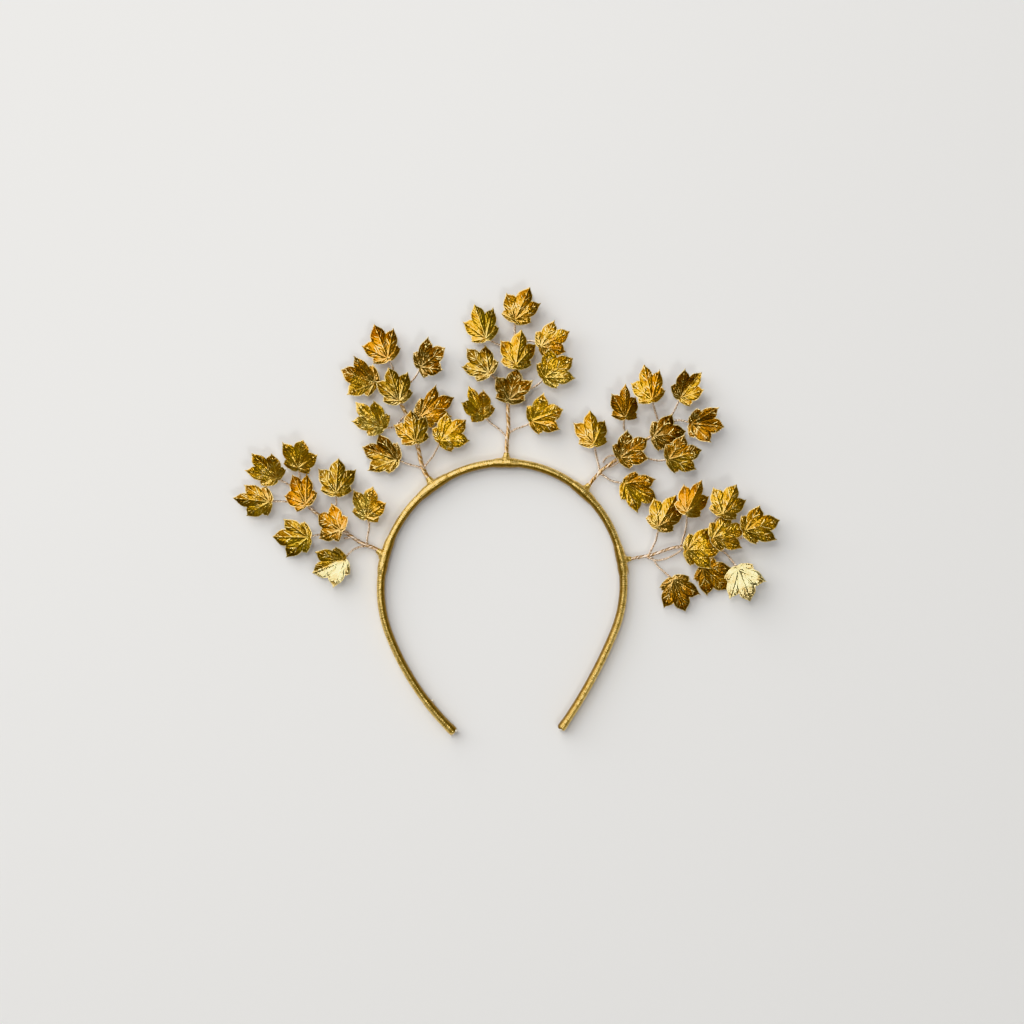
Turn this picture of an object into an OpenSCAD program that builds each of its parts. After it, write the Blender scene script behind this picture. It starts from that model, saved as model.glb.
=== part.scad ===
// Leaf headband: a springy band wrapped in gold ribbon, with five sprays of stamped gold maple leaves
// on twisted wire. It lies flat, seen from above, with the open end of the band toward -Y.
// Sizes are in millimetres, turns in degrees. Z is 0 where the band's bindings and folded ends rest.

/* [Band] */
// Breadth of the wrapped band, from the head outward
band_breadth = 4.3; // [3.8:0.1:5]
// Height of the wrapped band, across its face
band_height = 6.5; // [5.5:0.1:9]
// Radius of the band's rounded edges
band_edge = 1.8; // [1:0.1:1.8]
// Length of the fold that closes each end
fold_length = 4.5; // [3:0.5:8]

/* [Bindings] */
// Clearance between the band and the ribbon wound over it
wrap_gap = 0.2; // [0.1:0.05:0.3]
// Thickness of the extra turns of ribbon
wrap_wall = 0.5; // [0.4:0.1:1]
// Length of the collar up a stem
collar_length = 3.5; // [3:0.5:6]
// Radius of the collar where it leaves the band
collar_foot = 1.9; // [1.7:0.1:2.4]
// Radius of the collar's upper end
collar_top = 1.45; // [1.4:0.05:1.6]
// Radius of the stem's passage through the collar
collar_bore = 1.15; // [1.1:0.05:1.2]

/* [Wires] */
// Radius of a stem, the bundle of all the wires of its spray
stem_r = 0.95; // [0.8:0.05:0.95]
// Radius of the twist that carries one leaf
branch_r = 0.5; // [0.4:0.05:0.6]
// Radius of a single wire that runs apart from its stem
strand_r = 0.35; // [0.3:0.05:0.4]

/* [Leaves] */
// Thickness of a stamped leaf
leaf_thick = 0.4; // [0.3:0.05:0.5]
// Clearance between a leaf and the wire under it
leaf_gap = 0.25; // [0.2:0.05:0.3]
// How far a full-size leaf's lobe tips bend down
leaf_bow = 1.2; // [0:0.1:1.5]
// How far the veins stand up along the lobes
vein_rise = 0.35; // [0:0.05:0.5]

/* [Hidden] */
$fn = 48;

lift = wrap_gap + wrap_wall;
band_mid = lift + band_height / 2;
fold_breadth = band_breadth + 2 * lift;
fold_height = band_height + 2 * lift;
wire_sides = 6;
// Each stretch of the band starts this far inside the one before it, and is this much slimmer
seam_overlap = 0.5;
seam_step = 0.04;

// The band is two chains of arcs that leave the crown to the right and, mirrored, to the left
CROWN = [-2.4, 24.8];
CROWN_HEADING = 2;
// Columns: radius, turn
RIGHT_ARCS = [[61, 66], [66, 48.5], [258, 12.5]];
LEFT_ARCS = [[65, 57], [66.5, 52], [139, 24.6]];

// Columns: name, on the left, arc, degrees along that arc, length along the band, stem's lean
BINDINGS = [
    ["left", true, 1, 16, 20, -20],
    ["upper_left", true, 0, 33.5, 18, -2],
    ["top", false, 0, 2.2, 13, -2],
    ["upper_right", false, 0, 43.4, 14, 2],
    ["right", false, 1, 15.2, 16, -1],
];

// Outline of the stamp, one half of it, from the centre lobe's tip round to the base behind the veins' origin.
// Columns: turn from the centre lobe, reach from the veins' origin, share of the vein's rise
STAMP = [
    [0, 19.2, 1], [10, 15.6, 0.2], [19, 12.7, 0], [30, 14, 0.2], [36, 15.9, 1], [44, 13.4, 0.2],
    [61, 7.8, 0], [78, 8.4, 1], [101, 5.3, 0], [125, 3.1, 0], [180, 1.6, 0],
];
STAMP_CENTRE = 19.2;
STAMP_SIDE = 15.9;
STAMP_SIDE_TURN = 36;
STAMP_SMALL_TURN = 78;
// Turn of a leaf's small lobes, and how much more they turn for each millimetre that the side lobe beside
// them is shorter, and each degree that it stands wider, than the stamp's
SMALL_TURN = 79;
SMALL_BY_REACH = 5.8;
SMALL_BY_TURN = 0.8;
// Where the inner ring of a leaf's points lies, as a share of the outline's reach
INNER_RING = 0.55;

// Columns: x and y of the veins' origin, heading of the centre lobe, its length, turn and length of the left
// side lobe, turn and length of the right side lobe, height of the origin, rise toward the centre tip,
// roll with the left side up, fold with both sides up
LEFT_LEAVES = [
    [-119.5, 16.5, 134, 18.5, 31, 17, 34, 13.5, 8, 10, -6, 18],
    [-108, 22, 79, 15, 42, 16, 45, 12.5, 8.2, 27, -6, 4],
    [-123, 4.5, 174, 19.5, 37, 14.5, 27, 16.5, 11, -5, 0, -18],
    [-104, 3.5, 116, 17, 44, 12.5, 26, 16, 11, -14, 0, -12],
    [-88.5, 9, 86, 18.5, 40, 16, 36, 16.5, 10.5, -8, 0, -10],
    [-103, -14, 179, 19, 43, 16, 35, 16.5, 9, -8, 0, -6],
    [-86, -10, 146, 14.5, 56, 12.5, 36, 15, 12, -16, 0, -4],
    [-72.5, -3.5, 78, 16.5, 37, 16, 42, 13, 8.5, 20, -8, 10],
    [-84.5, -26, 202, 18, 47, 15.5, 38, 16, 6.5, 0, 0, 12],
];
UPPER_LEFT_LEAVES = [
    [-61.5, 79, 112, 19.5, 42, 15.5, 32, 16.5, 11.5, -8, 0, -16],
    [-68.5, 66.5, 159, 19, 45, 16, 31, 18, 7, 4, 4, 10],
    [-44.5, 74.5, 37, 16.5, 38, 16.5, 45, 12, 9, 20, -10, 6],
    [-55.5, 57, 108, 18.5, 33, 16.5, 34, 16, 12.5, -4, 0, -12],
    [-64.5, 43, 136, 19.5, 32, 16.5, 29, 15, 8, 5, -4, 20],
    [-45, 48.5, 30, 21, 33, 19.5, 28, 17, 7, -2, 4, 2],
    [-47, 36, 99, 16.5, 44, 14.5, 30, 14.5, 12.5, -6, 0, -8],
    [-34, 36, 40, 17.5, 38, 15.5, 39, 15.5, 10, 2, 0, -6],
    [-57, 26.5, 160, 19.5, 41, 16.5, 34, 17, 7.5, -4, 0, 8],
];
TOP_LEAVES = [
    [4.5, 99, 65, 19, 42, 15, 32, 16.5, 10, 5, 0, -10],
    [-10.5, 89.5, 109, 19, 35, 15, 32, 17, 11, -8, 0, -16],
    [-9, 71.5, 132, 17.5, 35, 15, 34, 15, 12, -18, 0, -10],
    [5, 75, 81, 19.5, 39, 16, 33, 16, 11.5, -4, 0, -10],
    [18, 85, 27, 17, 35, 15.5, 39, 13.5, 14.5, 8, 4, -8],
    [20, 69, 34, 18, 46, 16, 35, 16.5, 11, 8, 18, 2],
    [1.5, 57.5, 75, 17, 44, 14, 36, 16.5, 7.5, 8, 0, 8],
    [-11.5, 49, 117, 18, 32, 14, 25, 14, 7.5, 6, 0, 26],
    [13.5, 46.5, 20, 17.5, 47, 16, 37, 15.5, 8, 12, 4, 6],
];
UPPER_RIGHT_LEAVES = [
    [45.5, 34.5, 96, 18, 37, 15.5, 31, 14, 12, -14, 0, -16],
    [62, 48.5, 90, 17.5, 30, 14.5, 26, 12, 11.5, 4, 0, -24],
    [75.5, 57.5, 102, 19, 39, 14, 27, 16.5, 14, -10, 0, -10],
    [90.5, 58.5, 50, 17.5, 31, 15.5, 31, 13, 8.5, 12, -4, 20],
    [59.5, 27.5, 35, 17.5, 41, 15, 37, 15, 9, 8, 0, 4],
    [77, 38.5, 9, 17, 41, 15.5, 37, 15.5, 8, 2, 0, 2],
    [84.5, 26.5, 16, 18, 41, 15.5, 36, 15.5, 11.5, 6, 6, 2],
    [96.5, 45, -6, 17, 37, 16.5, 39, 14, 9, 16, 0, 14],
    [62, 14, -28, 19, 36, 16.5, 39, 17, 7, -4, 0, 10],
];
RIGHT_LEAVES = [
    [79, -8.5, 60, 19.5, 38, 15.5, 30, 16, 11, -4, 0, -14],
    [93.5, -1, 64, 19, 30, 15, 29, 15, 13.3, -5, 0, -22],
    [112, -2, 64, 17.5, 44, 15, 33, 15, 15, -4, 0, -10],
    [94, -20.5, 2, 18.5, 43, 17, 40, 16.5, 8.5, 0, 0, 0],
    [107.5, -14, 18, 18, 37, 15.5, 38, 16.5, 11, -3, -2, 0],
    [124, -10.5, 17, 19, 43, 15.5, 33, 17.5, 13, 3, 0, 4],
    [102.5, -30, -41, 17.5, 40, 15.5, 40, 15, 6, -5, 0, 4],
    [120.5, -30.5, -70, 18, 46, 16, 36, 16.5, 9, 14, 2, 4],
    [87, -36, -69, 18, 40, 16.5, 39, 16, 9, -6, 0, -4],
];

// Stems, from the collar outward. Columns: x, y, z, radius
LEFT_STEM = [
    [-72, -18.5, 4, 0.9], [-83, -12, 4, 0.85], [-91.5, -6, 4, 0.8], [-97.5, -2.5, 4, 0.75],
    [-103, 2, 4.4, 0.7], [-108, 8.5, 4.2, 0.6], [-107.5, 15.5, 4.2, 0.5],
];
UPPER_LEFT_STEM = [
    [-43, 21, 4, 0.9], [-45.5, 31, 4.2, 0.85], [-48.5, 42.5, 4.2, 0.8], [-52, 50, 4.4, 0.75],
    [-54.5, 55, 5, 0.7], [-57, 62, 5, 0.6],
];
TOP_STEM = [
    [0.5, 37, 4, 0.9], [1, 39.5, 4, 0.9], [1, 54.5, 4, 0.85], [2.5, 63, 4.2, 0.8],
    [5, 73.5, 4.8, 0.7], [4.5, 84.5, 5, 0.6], [4.5, 93, 5.5, 0.5],
];
UPPER_RIGHT_STEM = [
    [48.5, 19.5, 4, 0.9], [57.5, 26.5, 4.4, 0.85], [67.5, 33, 4.4, 0.8], [74, 37.5, 4.6, 0.75],
    [81.5, 42.5, 4.6, 0.7],
];
RIGHT_STEM = [
    [74.5, -23.5, 4, 0.9], [91, -19, 4.2, 0.85], [96, -19.5, 4.4, 0.8], [107, -15, 5, 0.7],
];

// Branches that leave a stem for a leaf. Columns: stem point, points on the way, leaf
LEFT_BRANCHES = [
    [5, [[-113.5, 13.5, 4.8]], 1], [6, [], 2], [4, [[-114.5, 4.5, 5]], 3], [4, [], 4],
    [2, [[-88.5, 3.5, 5.5]], 5], [1, [[-96.5, -12.5, 4.4]], 6], [1, [[-85, -11, 6]], 7],
    [0, [[-71.5, -6.5, 5.5]], 8], [0, [[-76, -19, 4.2]], 9],
];
UPPER_LEFT_BRANCHES = [
    [5, [[-59, 74, 6]], 1], [5, [[-63, 66, 5]], 2], [5, [[-48.5, 68, 5]], 3], [4, [], 4],
    [3, [[-58.5, 43.5, 5]], 5], [2, [], 6], [1, [[-46.5, 34.5, 6]], 7], [0, [[-38, 28.5, 5]], 8],
    [0, [[-52, 24.5, 5]], 9],
];
TOP_BRANCHES = [
    [6, [], 1], [5, [[-3, 86, 5]], 2], [3, [[-5.5, 68.5, 5.5]], 3], [4, [], 4], [5, [[11, 88, 8]], 5],
    [3, [[9.5, 62.5, 5], [14, 64, 6]], 6], [2, [], 7], [0, [[-9.5, 47, 5]], 8], [1, [[12.5, 45.5, 5.5]], 9],
];
UPPER_RIGHT_BRANCHES = [
    [0, [[47, 28.5, 5]], 1], [2, [[61.5, 42.5, 5.5]], 2], [4, [[79, 47, 6]], 3], [4, [[87, 51, 6]], 4],
    [1, [], 5], [3, [], 6], [2, [[74.5, 27, 5]], 7], [4, [[87, 46.5, 6]], 8], [0, [[55, 15.5, 4.5]], 9],
];
RIGHT_BRANCHES = [
    [0, [[76, -20, 4.2]], 1], [1, [[92.5, -13.5, 5]], 2], [3, [[108.5, -8, 6], [109, -5, 8.5]], 3], [2, [], 4],
    [3, [[107, -14.5, 7]], 5], [3, [[117, -15, 6], [124, -13.5, 8.5]], 6], [2, [[100, -25.5, 3.6]], 7],
    [3, [[113, -21, 5]], 8], [0, [[80, -30, 4.6]], 9],
];

// Single wires that bow out of a stem's bundle or end loose beside it. Columns of a point: x, y, z
LEFT_STRANDS = [[[-80, -14, 4.4], [-84.5, -14.5, 3.6]]];
UPPER_RIGHT_STRANDS = [
    [[51, 21.5, 4.2], [56, 23.5, 4], [61, 27, 4.4]], [[50.5, 25, 4], [53, 28, 4.2], [58.5, 28, 4.6]],
];
RIGHT_STRANDS = [[[73, -24, 4], [78.5, -26, 4.2], [85, -24.5, 4.4], [92, -20, 4.2]]];

// Columns: name, leaves, stem, branches, loose strands
SPRAYS = [
    ["left", LEFT_LEAVES, LEFT_STEM, LEFT_BRANCHES, LEFT_STRANDS],
    ["upper_left", UPPER_LEFT_LEAVES, UPPER_LEFT_STEM, UPPER_LEFT_BRANCHES, []],
    ["top", TOP_LEAVES, TOP_STEM, TOP_BRANCHES, []],
    ["upper_right", UPPER_RIGHT_LEAVES, UPPER_RIGHT_STEM, UPPER_RIGHT_BRANCHES, UPPER_RIGHT_STRANDS],
    ["right", RIGHT_LEAVES, RIGHT_STEM, RIGHT_BRANCHES, RIGHT_STRANDS],
];

// Start of an arc of a chain that leaves the origin along +X and bends toward -Y: its centre and heading
function arc_heading(arcs, i) = i == 0 ? 0 : arc_heading(arcs, i - 1) - arcs[i - 1][1];
function arc_start(arcs, i) = i == 0 ? [0, 0] : arc_point(arcs, i - 1, arcs[i - 1][1]);
function arc_centre(arcs, i) =
    let (heading = arc_heading(arcs, i))
    arc_start(arcs, i) + arcs[i][0] * [sin(heading), -cos(heading)];
function arc_point(arcs, i, turn) =
    let (heading = arc_heading(arcs, i) - turn)
    arc_centre(arcs, i) + arcs[i][0] * [-sin(heading), cos(heading)];

// A point of the crown's frame, of the left chain where left is true, in the part's frame
function from_crown(point, left) =
    let (x = left ? -point.x : point.x)
    CROWN + [
        x * cos(CROWN_HEADING) - point.y * sin(CROWN_HEADING),
        x * sin(CROWN_HEADING) + point.y * cos(CROWN_HEADING)
    ];

// Where a binding's stem leaves the band's centre line, and the heading of that stem
function binding_arcs(row) = row[1] ? LEFT_ARCS : RIGHT_ARCS;
function stem_root(row) = from_crown(arc_point(binding_arcs(row), row[2], row[3]), row[1]);
function outward(row) =
    let (heading = 90 + arc_heading(binding_arcs(row), row[2]) - row[3])
    CROWN_HEADING + (row[1] ? 180 - heading : heading);
function stem_heading(row) = outward(row) + row[5];

// Point of a stem's axis at a distance from the band's centre line
function stem_point(row, distance) =
    let (root = stem_root(row), heading = stem_heading(row))
    [root.x + distance * cos(heading), root.y + distance * sin(heading), band_mid];

// Turn and reach of a point of the stamp on one leaf, whose side lobes may stand wider and be shorter
function small_turn(side_turn, side) =
    SMALL_TURN + SMALL_BY_REACH * (STAMP_SIDE - side) + SMALL_BY_TURN * (side_turn - STAMP_SIDE_TURN);
function leaf_turn(leaf, turn) = lookup(turn, [
    [-180, -180], [-STAMP_SMALL_TURN, -small_turn(leaf[6], leaf[7])], [-STAMP_SIDE_TURN, -leaf[6]], [0, 0],
    [STAMP_SIDE_TURN, leaf[4]], [STAMP_SMALL_TURN, small_turn(leaf[4], leaf[5])], [180, 180]
]);
function leaf_scale(leaf, turn) = lookup(turn, [
    [-STAMP_SIDE_TURN, leaf[7] / STAMP_SIDE], [0, leaf[3] / STAMP_CENTRE],
    [STAMP_SIDE_TURN, leaf[5] / STAMP_SIDE]
]);

// Height of a leaf's upper face at a distance ahead of the veins' origin and one to its left
function leaf_height(leaf, ahead, aside) =
    leaf[8] + ahead * tan(leaf[9]) + aside * tan(leaf[10]) + abs(aside) * tan(leaf[11])
    - leaf_bow * (ahead * ahead + aside * aside) / (STAMP_CENTRE * STAMP_CENTRE);

// A point of a leaf's upper face, at a share of the reach of one point of the stamp
function leaf_point(leaf, stamp, share) =
    let (
        turn = leaf_turn(leaf, stamp[0]),
        reach = share * stamp[1] * leaf_scale(leaf, stamp[0]),
        ahead = reach * cos(turn),
        aside = reach * sin(turn),
        vein = share == INNER_RING ? vein_rise * stamp[2] : 0
    )
    [
        leaf[0] + ahead * cos(leaf[2]) - aside * sin(leaf[2]),
        leaf[1] + ahead * sin(leaf[2]) + aside * cos(leaf[2]),
        leaf_height(leaf, ahead, aside) + vein
    ];

// The whole outline, anticlockwise from the base: the right half, the centre tip and the left half
OUTLINE = concat(
    [for (i = [len(STAMP) - 2:-1:1]) [-STAMP[i][0], STAMP[i][1], STAMP[i][2]]],
    STAMP
);

// Where a branch ends, under the veins' origin of its leaf, lower where the leaf slopes more
function leaf_seat(leaf) =
    [leaf[0], leaf[1], leaf[8] - leaf_thick - (leaf_gap + branch_r) / cos(leaf[9]) / cos(leaf[11])];

// Cross-section of the band, or of a layer wound over it, with rounded edges
module band_section(breadth, height, edge) {
    square([breadth, height - 2 * edge], center = true);
    square([breadth - 2 * edge, height], center = true);
    for (x = [-1, 1], y = [-1, 1])
        translate([x * (breadth / 2 - edge), y * (height / 2 - edge)]) circle(edge);
}

// A stretch of one arc with the section given as child, between two turns from the arc's start
module arc_stretch(arcs, i, from, to) {
    centre = arc_centre(arcs, i);
    translate([centre.x, centre.y, band_mid])
        rotate([0, 0, 90 + arc_heading(arcs, i) - to])
            rotate_extrude(angle = to - from) translate([arcs[i][0], 0]) children();
}

// One half of the band, from the crown to its folded end, after the given number of earlier stretches
module band_half(arcs, earlier) {
    last = len(arcs) - 1;
    fold_turn = fold_length / arcs[last][0] * 180 / PI;
    end_turn = arcs[last][1];
    for (i = [0:last]) {
        slimmer = (earlier + i) * seam_step;
        from = slimmer > 0 ? -seam_overlap / arcs[i][0] * 180 / PI : 0;
        arc_stretch(arcs, i, from, i < last ? arcs[i][1] : end_turn - fold_turn / 2)
            band_section(band_breadth - slimmer, band_height - slimmer, band_edge - slimmer / 2);
    }
    arc_stretch(arcs, last, end_turn - fold_turn, end_turn)
        band_section(fold_breadth, fold_height, band_edge + lift);
}

module in_crown_frame(left) {
    translate([CROWN.x, CROWN.y, 0]) rotate([0, 0, CROWN_HEADING])
        if (left) mirror([1, 0, 0]) children();
        else children();
}

module band() {
    color("goldenrod") {
        in_crown_frame(false) band_half(RIGHT_ARCS, 0);
        in_crown_frame(true) band_half(LEFT_ARCS, 1);
    }
}

// Extra turns of ribbon over the band, with a collar up the stem that they hold
module binding(row) {
    arcs = binding_arcs(row);
    half_turn = row[4] / 2 / arcs[row[2]][0] * 180 / PI;
    root = stem_root(row);
    color("gold") difference() {
        union() {
            in_crown_frame(row[1]) arc_stretch(arcs, row[2], row[3] - half_turn, row[3] + half_turn)
                band_section(fold_breadth, fold_height, band_edge + lift);
            translate([root.x, root.y, band_mid]) rotate([0, 90, stem_heading(row)])
                cylinder(h = fold_breadth / 2 + collar_length, r1 = collar_foot, r2 = collar_top);
        }
        in_crown_frame(row[1]) arc_stretch(arcs, row[2], row[3] - 2 * half_turn, row[3] + 2 * half_turn)
            band_section(band_breadth + 2 * wrap_gap, band_height + 2 * wrap_gap, band_edge + wrap_gap);
        translate([root.x, root.y, band_mid]) rotate([0, 90, stem_heading(row)])
            cylinder(h = fold_breadth + 2 * collar_length, r = collar_bore);
    }
}

// Twisted wire through points, each with its own radius as a fourth value
module wire(points) {
    for (i = [1:len(points) - 1])
        hull() for (point = [points[i - 1], points[i]])
            translate([point.x, point.y, point.z]) sphere(point[3], $fn = wire_sides);
}

// The wires of one spray: the stem from its foot in the collar, and a branch to each leaf
module wires(spray, row) {
    leaves = spray[1];
    stem = spray[2];
    foot = stem_point(row, (band_breadth / 2 + wrap_gap + stem_r) / cos(row[5]));
    exit = stem_point(row, fold_breadth / 2 + collar_length + stem_r);
    color("tan") {
        wire(concat([concat(foot, stem_r), concat(exit, stem_r)], stem));
        for (strand = spray[4]) wire([for (point = strand) concat(point, strand_r)]);
        for (branch = spray[3]) {
            start = stem[branch[0]];
            wire(concat(
                [[start.x, start.y, start.z, branch_r]],
                [for (point = branch[1]) concat(point, branch_r)],
                [concat(leaf_seat(leaves[branch[2] - 1]), branch_r)]
            ));
        }
    }
}

// One stamped leaf: an upper and a lower face of two rings round the veins' origin, and the cut edge
module leaf(row) {
    n = len(OUTLINE);
    upper = concat(
        [[row[0], row[1], row[8]]],
        [for (stamp = OUTLINE) leaf_point(row, stamp, INNER_RING)],
        [for (stamp = OUTLINE) leaf_point(row, stamp, 1)]
    );
    lower = [for (point = upper) point - [0, 0, leaf_thick]];
    below = len(upper);
    inner = [for (i = [0:n - 1]) 1 + i];
    outer = [for (i = [0:n - 1]) 1 + n + i];
    faces = [for (i = [0:n - 1]) let (j = (i + 1) % n) each [
        [0, inner[j], inner[i]],
        [inner[i], inner[j], outer[j]],
        [inner[i], outer[j], outer[i]],
        [below, below + inner[i], below + inner[j]],
        [below + inner[i], below + outer[j], below + inner[j]],
        [below + inner[i], below + outer[i], below + outer[j]],
        [outer[i], outer[j], below + outer[j]],
        [outer[i], below + outer[j], below + outer[i]]
    ]];
    color("gold") polyhedron(concat(upper, lower), faces, convexity = 4);
}

band();

for (row = BINDINGS)
    binding(row);

for (i = [0:len(SPRAYS) - 1])
    wires(SPRAYS[i], BINDINGS[i]);

for (spray = SPRAYS) for (i = [1:len(spray[1])])
    leaf(spray[1][i - 1]);
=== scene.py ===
"""Looks of the leaf headband: a strip wound in gold ribbon, with stamped maple leaves on twisted wire.

Every solid of the frame is replaced by a detailed surface in the same place. Lengths are millimetres in the
frame's axes until mesh_object() turns them to metres, and turns are degrees.
"""

import logging
import math
from collections.abc import Callable
from dataclasses import dataclass, field, replace
from enum import Enum
from functools import partial

import bpy
import numpy as np
from numpy.typing import NDArray
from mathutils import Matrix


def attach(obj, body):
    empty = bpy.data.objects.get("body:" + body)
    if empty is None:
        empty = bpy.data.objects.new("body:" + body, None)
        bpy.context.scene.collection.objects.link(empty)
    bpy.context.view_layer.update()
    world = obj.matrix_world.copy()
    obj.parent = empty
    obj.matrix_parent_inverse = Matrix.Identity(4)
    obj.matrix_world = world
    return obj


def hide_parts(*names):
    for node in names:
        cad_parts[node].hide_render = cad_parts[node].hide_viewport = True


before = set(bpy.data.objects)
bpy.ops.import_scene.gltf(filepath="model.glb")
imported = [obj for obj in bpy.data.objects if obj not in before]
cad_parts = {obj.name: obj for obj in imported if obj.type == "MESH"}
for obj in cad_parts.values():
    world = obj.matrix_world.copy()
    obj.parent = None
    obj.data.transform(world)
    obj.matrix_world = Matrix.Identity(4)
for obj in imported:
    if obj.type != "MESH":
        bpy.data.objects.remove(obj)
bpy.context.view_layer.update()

MM = 0.001
UV_MM = 100.0  # millimetres to one unit of a UV map
GIRTH = 17.3  # mm round the wound strip
BODY = "root"

# Numbers of the Mix node's colour sockets, which share their names with its other sockets
MIX_A, MIX_B, MIX_OUT = 6, 7, 2
# Setting of a Map Range node whose value eases in and out
SMOOTH = {"interpolation_type": "SMOOTHSTEP"}

Array = NDArray[np.float64]
Faces = NDArray[np.int64]
# Points, a place in the UV map for each, faces of four corners and faces of three
Surface = tuple[Array, Array, Faces, Faces]
Point = tuple[float, float, float]
Node = bpy.types.Node
Adder = Callable[..., Node]

log = logging.getLogger("leaf_headband")


class Tone(Enum):
    """Colours of the leaves, partly their lacquer's own and partly painted light, each half lit or shaded by the
    lamps.
    """

    # A painted highlight, for a half that caught a lamp full on
    FLASH = "#FFF6BA"
    PALE = "#F0CE6C"
    AMBER = "#FFC650"
    YELLOW = "#D4A93E"
    GREEN = "#BA9C40"
    OLIVE = "#A68436"
    GOLD = "#C09236"
    ORANGE = "#CC8E20"
    BROWN = "#A07026"
    DARK = "#744C16"


def linear(colour: str) -> tuple[float, float, float, float]:
    """Turn an sRGB hex colour to linear light.

    Args:
        colour: The colour as "#RRGGBB".

    Returns:
        Red, green, blue and an alpha of 1, where a channel over 0.04045 is ((c + 0.055) / 1.055) to the 2.4.
    """
    channels = (int(colour[i : i + 2], 16) / 255 for i in (1, 3, 5))
    red, green, blue = (c / 12.92 if c <= 0.04045 else ((c + 0.055) / 1.055) ** 2.4 for c in channels)
    return red, green, blue, 1.0


def smoothstep(low: float, high: float, value: Array) -> Array:
    """Rise smoothly from 0 at low to 1 at high, as 3 t^2 - 2 t^3 of the clipped share t."""
    share = np.clip((value - low) / (high - low), 0.0, 1.0)
    return share * share * (3 - 2 * share)


def bell(value: Array, width: float) -> Array:
    """Fall from 1 at zero as the exponential of minus the squared share of the width."""
    return np.exp(-np.square(value / width))


def unit(vectors: Array) -> Array:
    """Scale each row to length 1."""
    return vectors / np.linalg.norm(vectors, axis=-1, keepdims=True)


def compass(turn: Array | float) -> Array:
    """Give the direction of each turn in degrees as a row of cosine and sine."""
    return np.stack((np.cos(np.radians(turn)), np.sin(np.radians(turn))), axis=-1)


def grid_quads(rows: int, columns: int) -> Faces:
    """List the faces of rings of points held ring by ring, the last column joined to the first.

    Args:
        rows: Number of rings.
        columns: Points in a ring.

    Returns:
        One row of four point numbers for each face, anticlockwise where rows run up and columns run right.
    """
    column = np.arange(columns)
    after = (column + 1) % columns
    row = np.arange(rows - 1)[:, None] * columns
    corners = (row + column, row + after, row + columns + after, row + columns + column)
    return np.stack(corners, axis=-1).reshape(-1, 4)


def fan(centre: int, ring: Faces, outward: bool) -> Faces:
    """Close a ring of points with triangles to one point.

    Args:
        centre: Number of that point.
        ring: Numbers of the ring's points.
        outward: True to turn anticlockwise as the ring does.

    Returns:
        One row of three point numbers for each face.
    """
    after = np.roll(ring, -1)
    pair = (ring, after) if outward else (after, ring)
    return np.stack((np.full_like(ring, centre), *pair), axis=-1)


def capped(rings: Array, uv: Array, poles: Array) -> Surface:
    """Close rings of points with a pole at each end.

    Args:
        rings: Points, as an array of rings.
        uv: A place in the UV map for each.
        poles: The first and the last pole.

    Returns:
        The closed surface.
    """
    rows, sides = rings.shape[:2]
    ring, count = np.arange(sides), rows * sides
    caps = (fan(count, ring, False), fan(count + 1, ring + count - sides, True))
    uv = np.broadcast_to(uv, (rows, sides, 2)).reshape(-1, 2)
    points = np.vstack((rings.reshape(-1, 3), poles))
    return points, np.vstack((uv, uv[:1], uv[-1:])), grid_quads(rows, sides), np.concatenate(caps)


def mesh_object(
    name: str,
    points: Array,
    faces: list[Faces],
    material: bpy.types.Material,
    corner_uvs: dict[str, Array] | None = None,
    values: dict[str, Array] | None = None,
    colours: dict[str, Array] | None = None,
) -> bpy.types.Object:
    """Make a smooth mesh object from whole arrays.

    Args:
        name: The object's name.
        points: One row of x, y and z in millimetres for each point.
        faces: Arrays of point numbers, each with faces of one number of corners.
        material: The finish of the piece.
        corner_uvs: UV maps by name, one row for each corner in the faces' order.
        values: Float attributes by name, one number for each point.
        colours: Colour attributes by name, one linear colour for each point.

    Returns:
        The object, at the origin of the frame.
    """
    mesh = bpy.data.meshes.new(name)
    corners = np.concatenate([block.ravel() for block in faces])
    totals = np.concatenate([np.full(len(block), block.shape[1]) for block in faces])
    mesh.vertices.add(len(points))
    mesh.vertices.foreach_set("co", (points * MM).astype(np.float32).ravel())
    mesh.loops.add(len(corners))
    mesh.loops.foreach_set("vertex_index", corners.astype(np.int32))
    mesh.polygons.add(len(totals))
    mesh.polygons.foreach_set("loop_start", (np.cumsum(totals) - totals).astype(np.int32))
    mesh.polygons.foreach_set("use_smooth", np.ones(len(totals), bool))
    for label, uv in (corner_uvs or {}).items():
        mesh.uv_layers.new(name=label).data.foreach_set("uv", (uv / UV_MM).astype(np.float32).ravel())
    for label, value in (values or {}).items():
        data = mesh.attributes.new(label, "FLOAT", "POINT").data
        data.foreach_set("value", value.astype(np.float32))
    for label, colour in (colours or {}).items():
        data = mesh.attributes.new(label, "FLOAT_COLOR", "POINT").data
        data.foreach_set("color", colour.astype(np.float32).ravel())
    mesh.update()
    mesh.validate()
    mesh.materials.append(material)
    piece = bpy.data.objects.new(name, mesh)
    bpy.context.scene.collection.objects.link(piece)
    return piece


def place(piece: bpy.types.Object, slot: str, *nodes: str) -> bpy.types.Object:
    """Let a piece ride on the headband, and log it.

    Args:
        piece: The piece.
        slot: Not used.
        nodes: Names of the nodes that the piece stands for.

    Returns:
        The piece.
    """
    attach(piece, BODY)
    if nodes:
        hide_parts(*nodes)
    log.info("%s: %d faces", piece.name, len(piece.data.polygons))
    return piece


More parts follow.
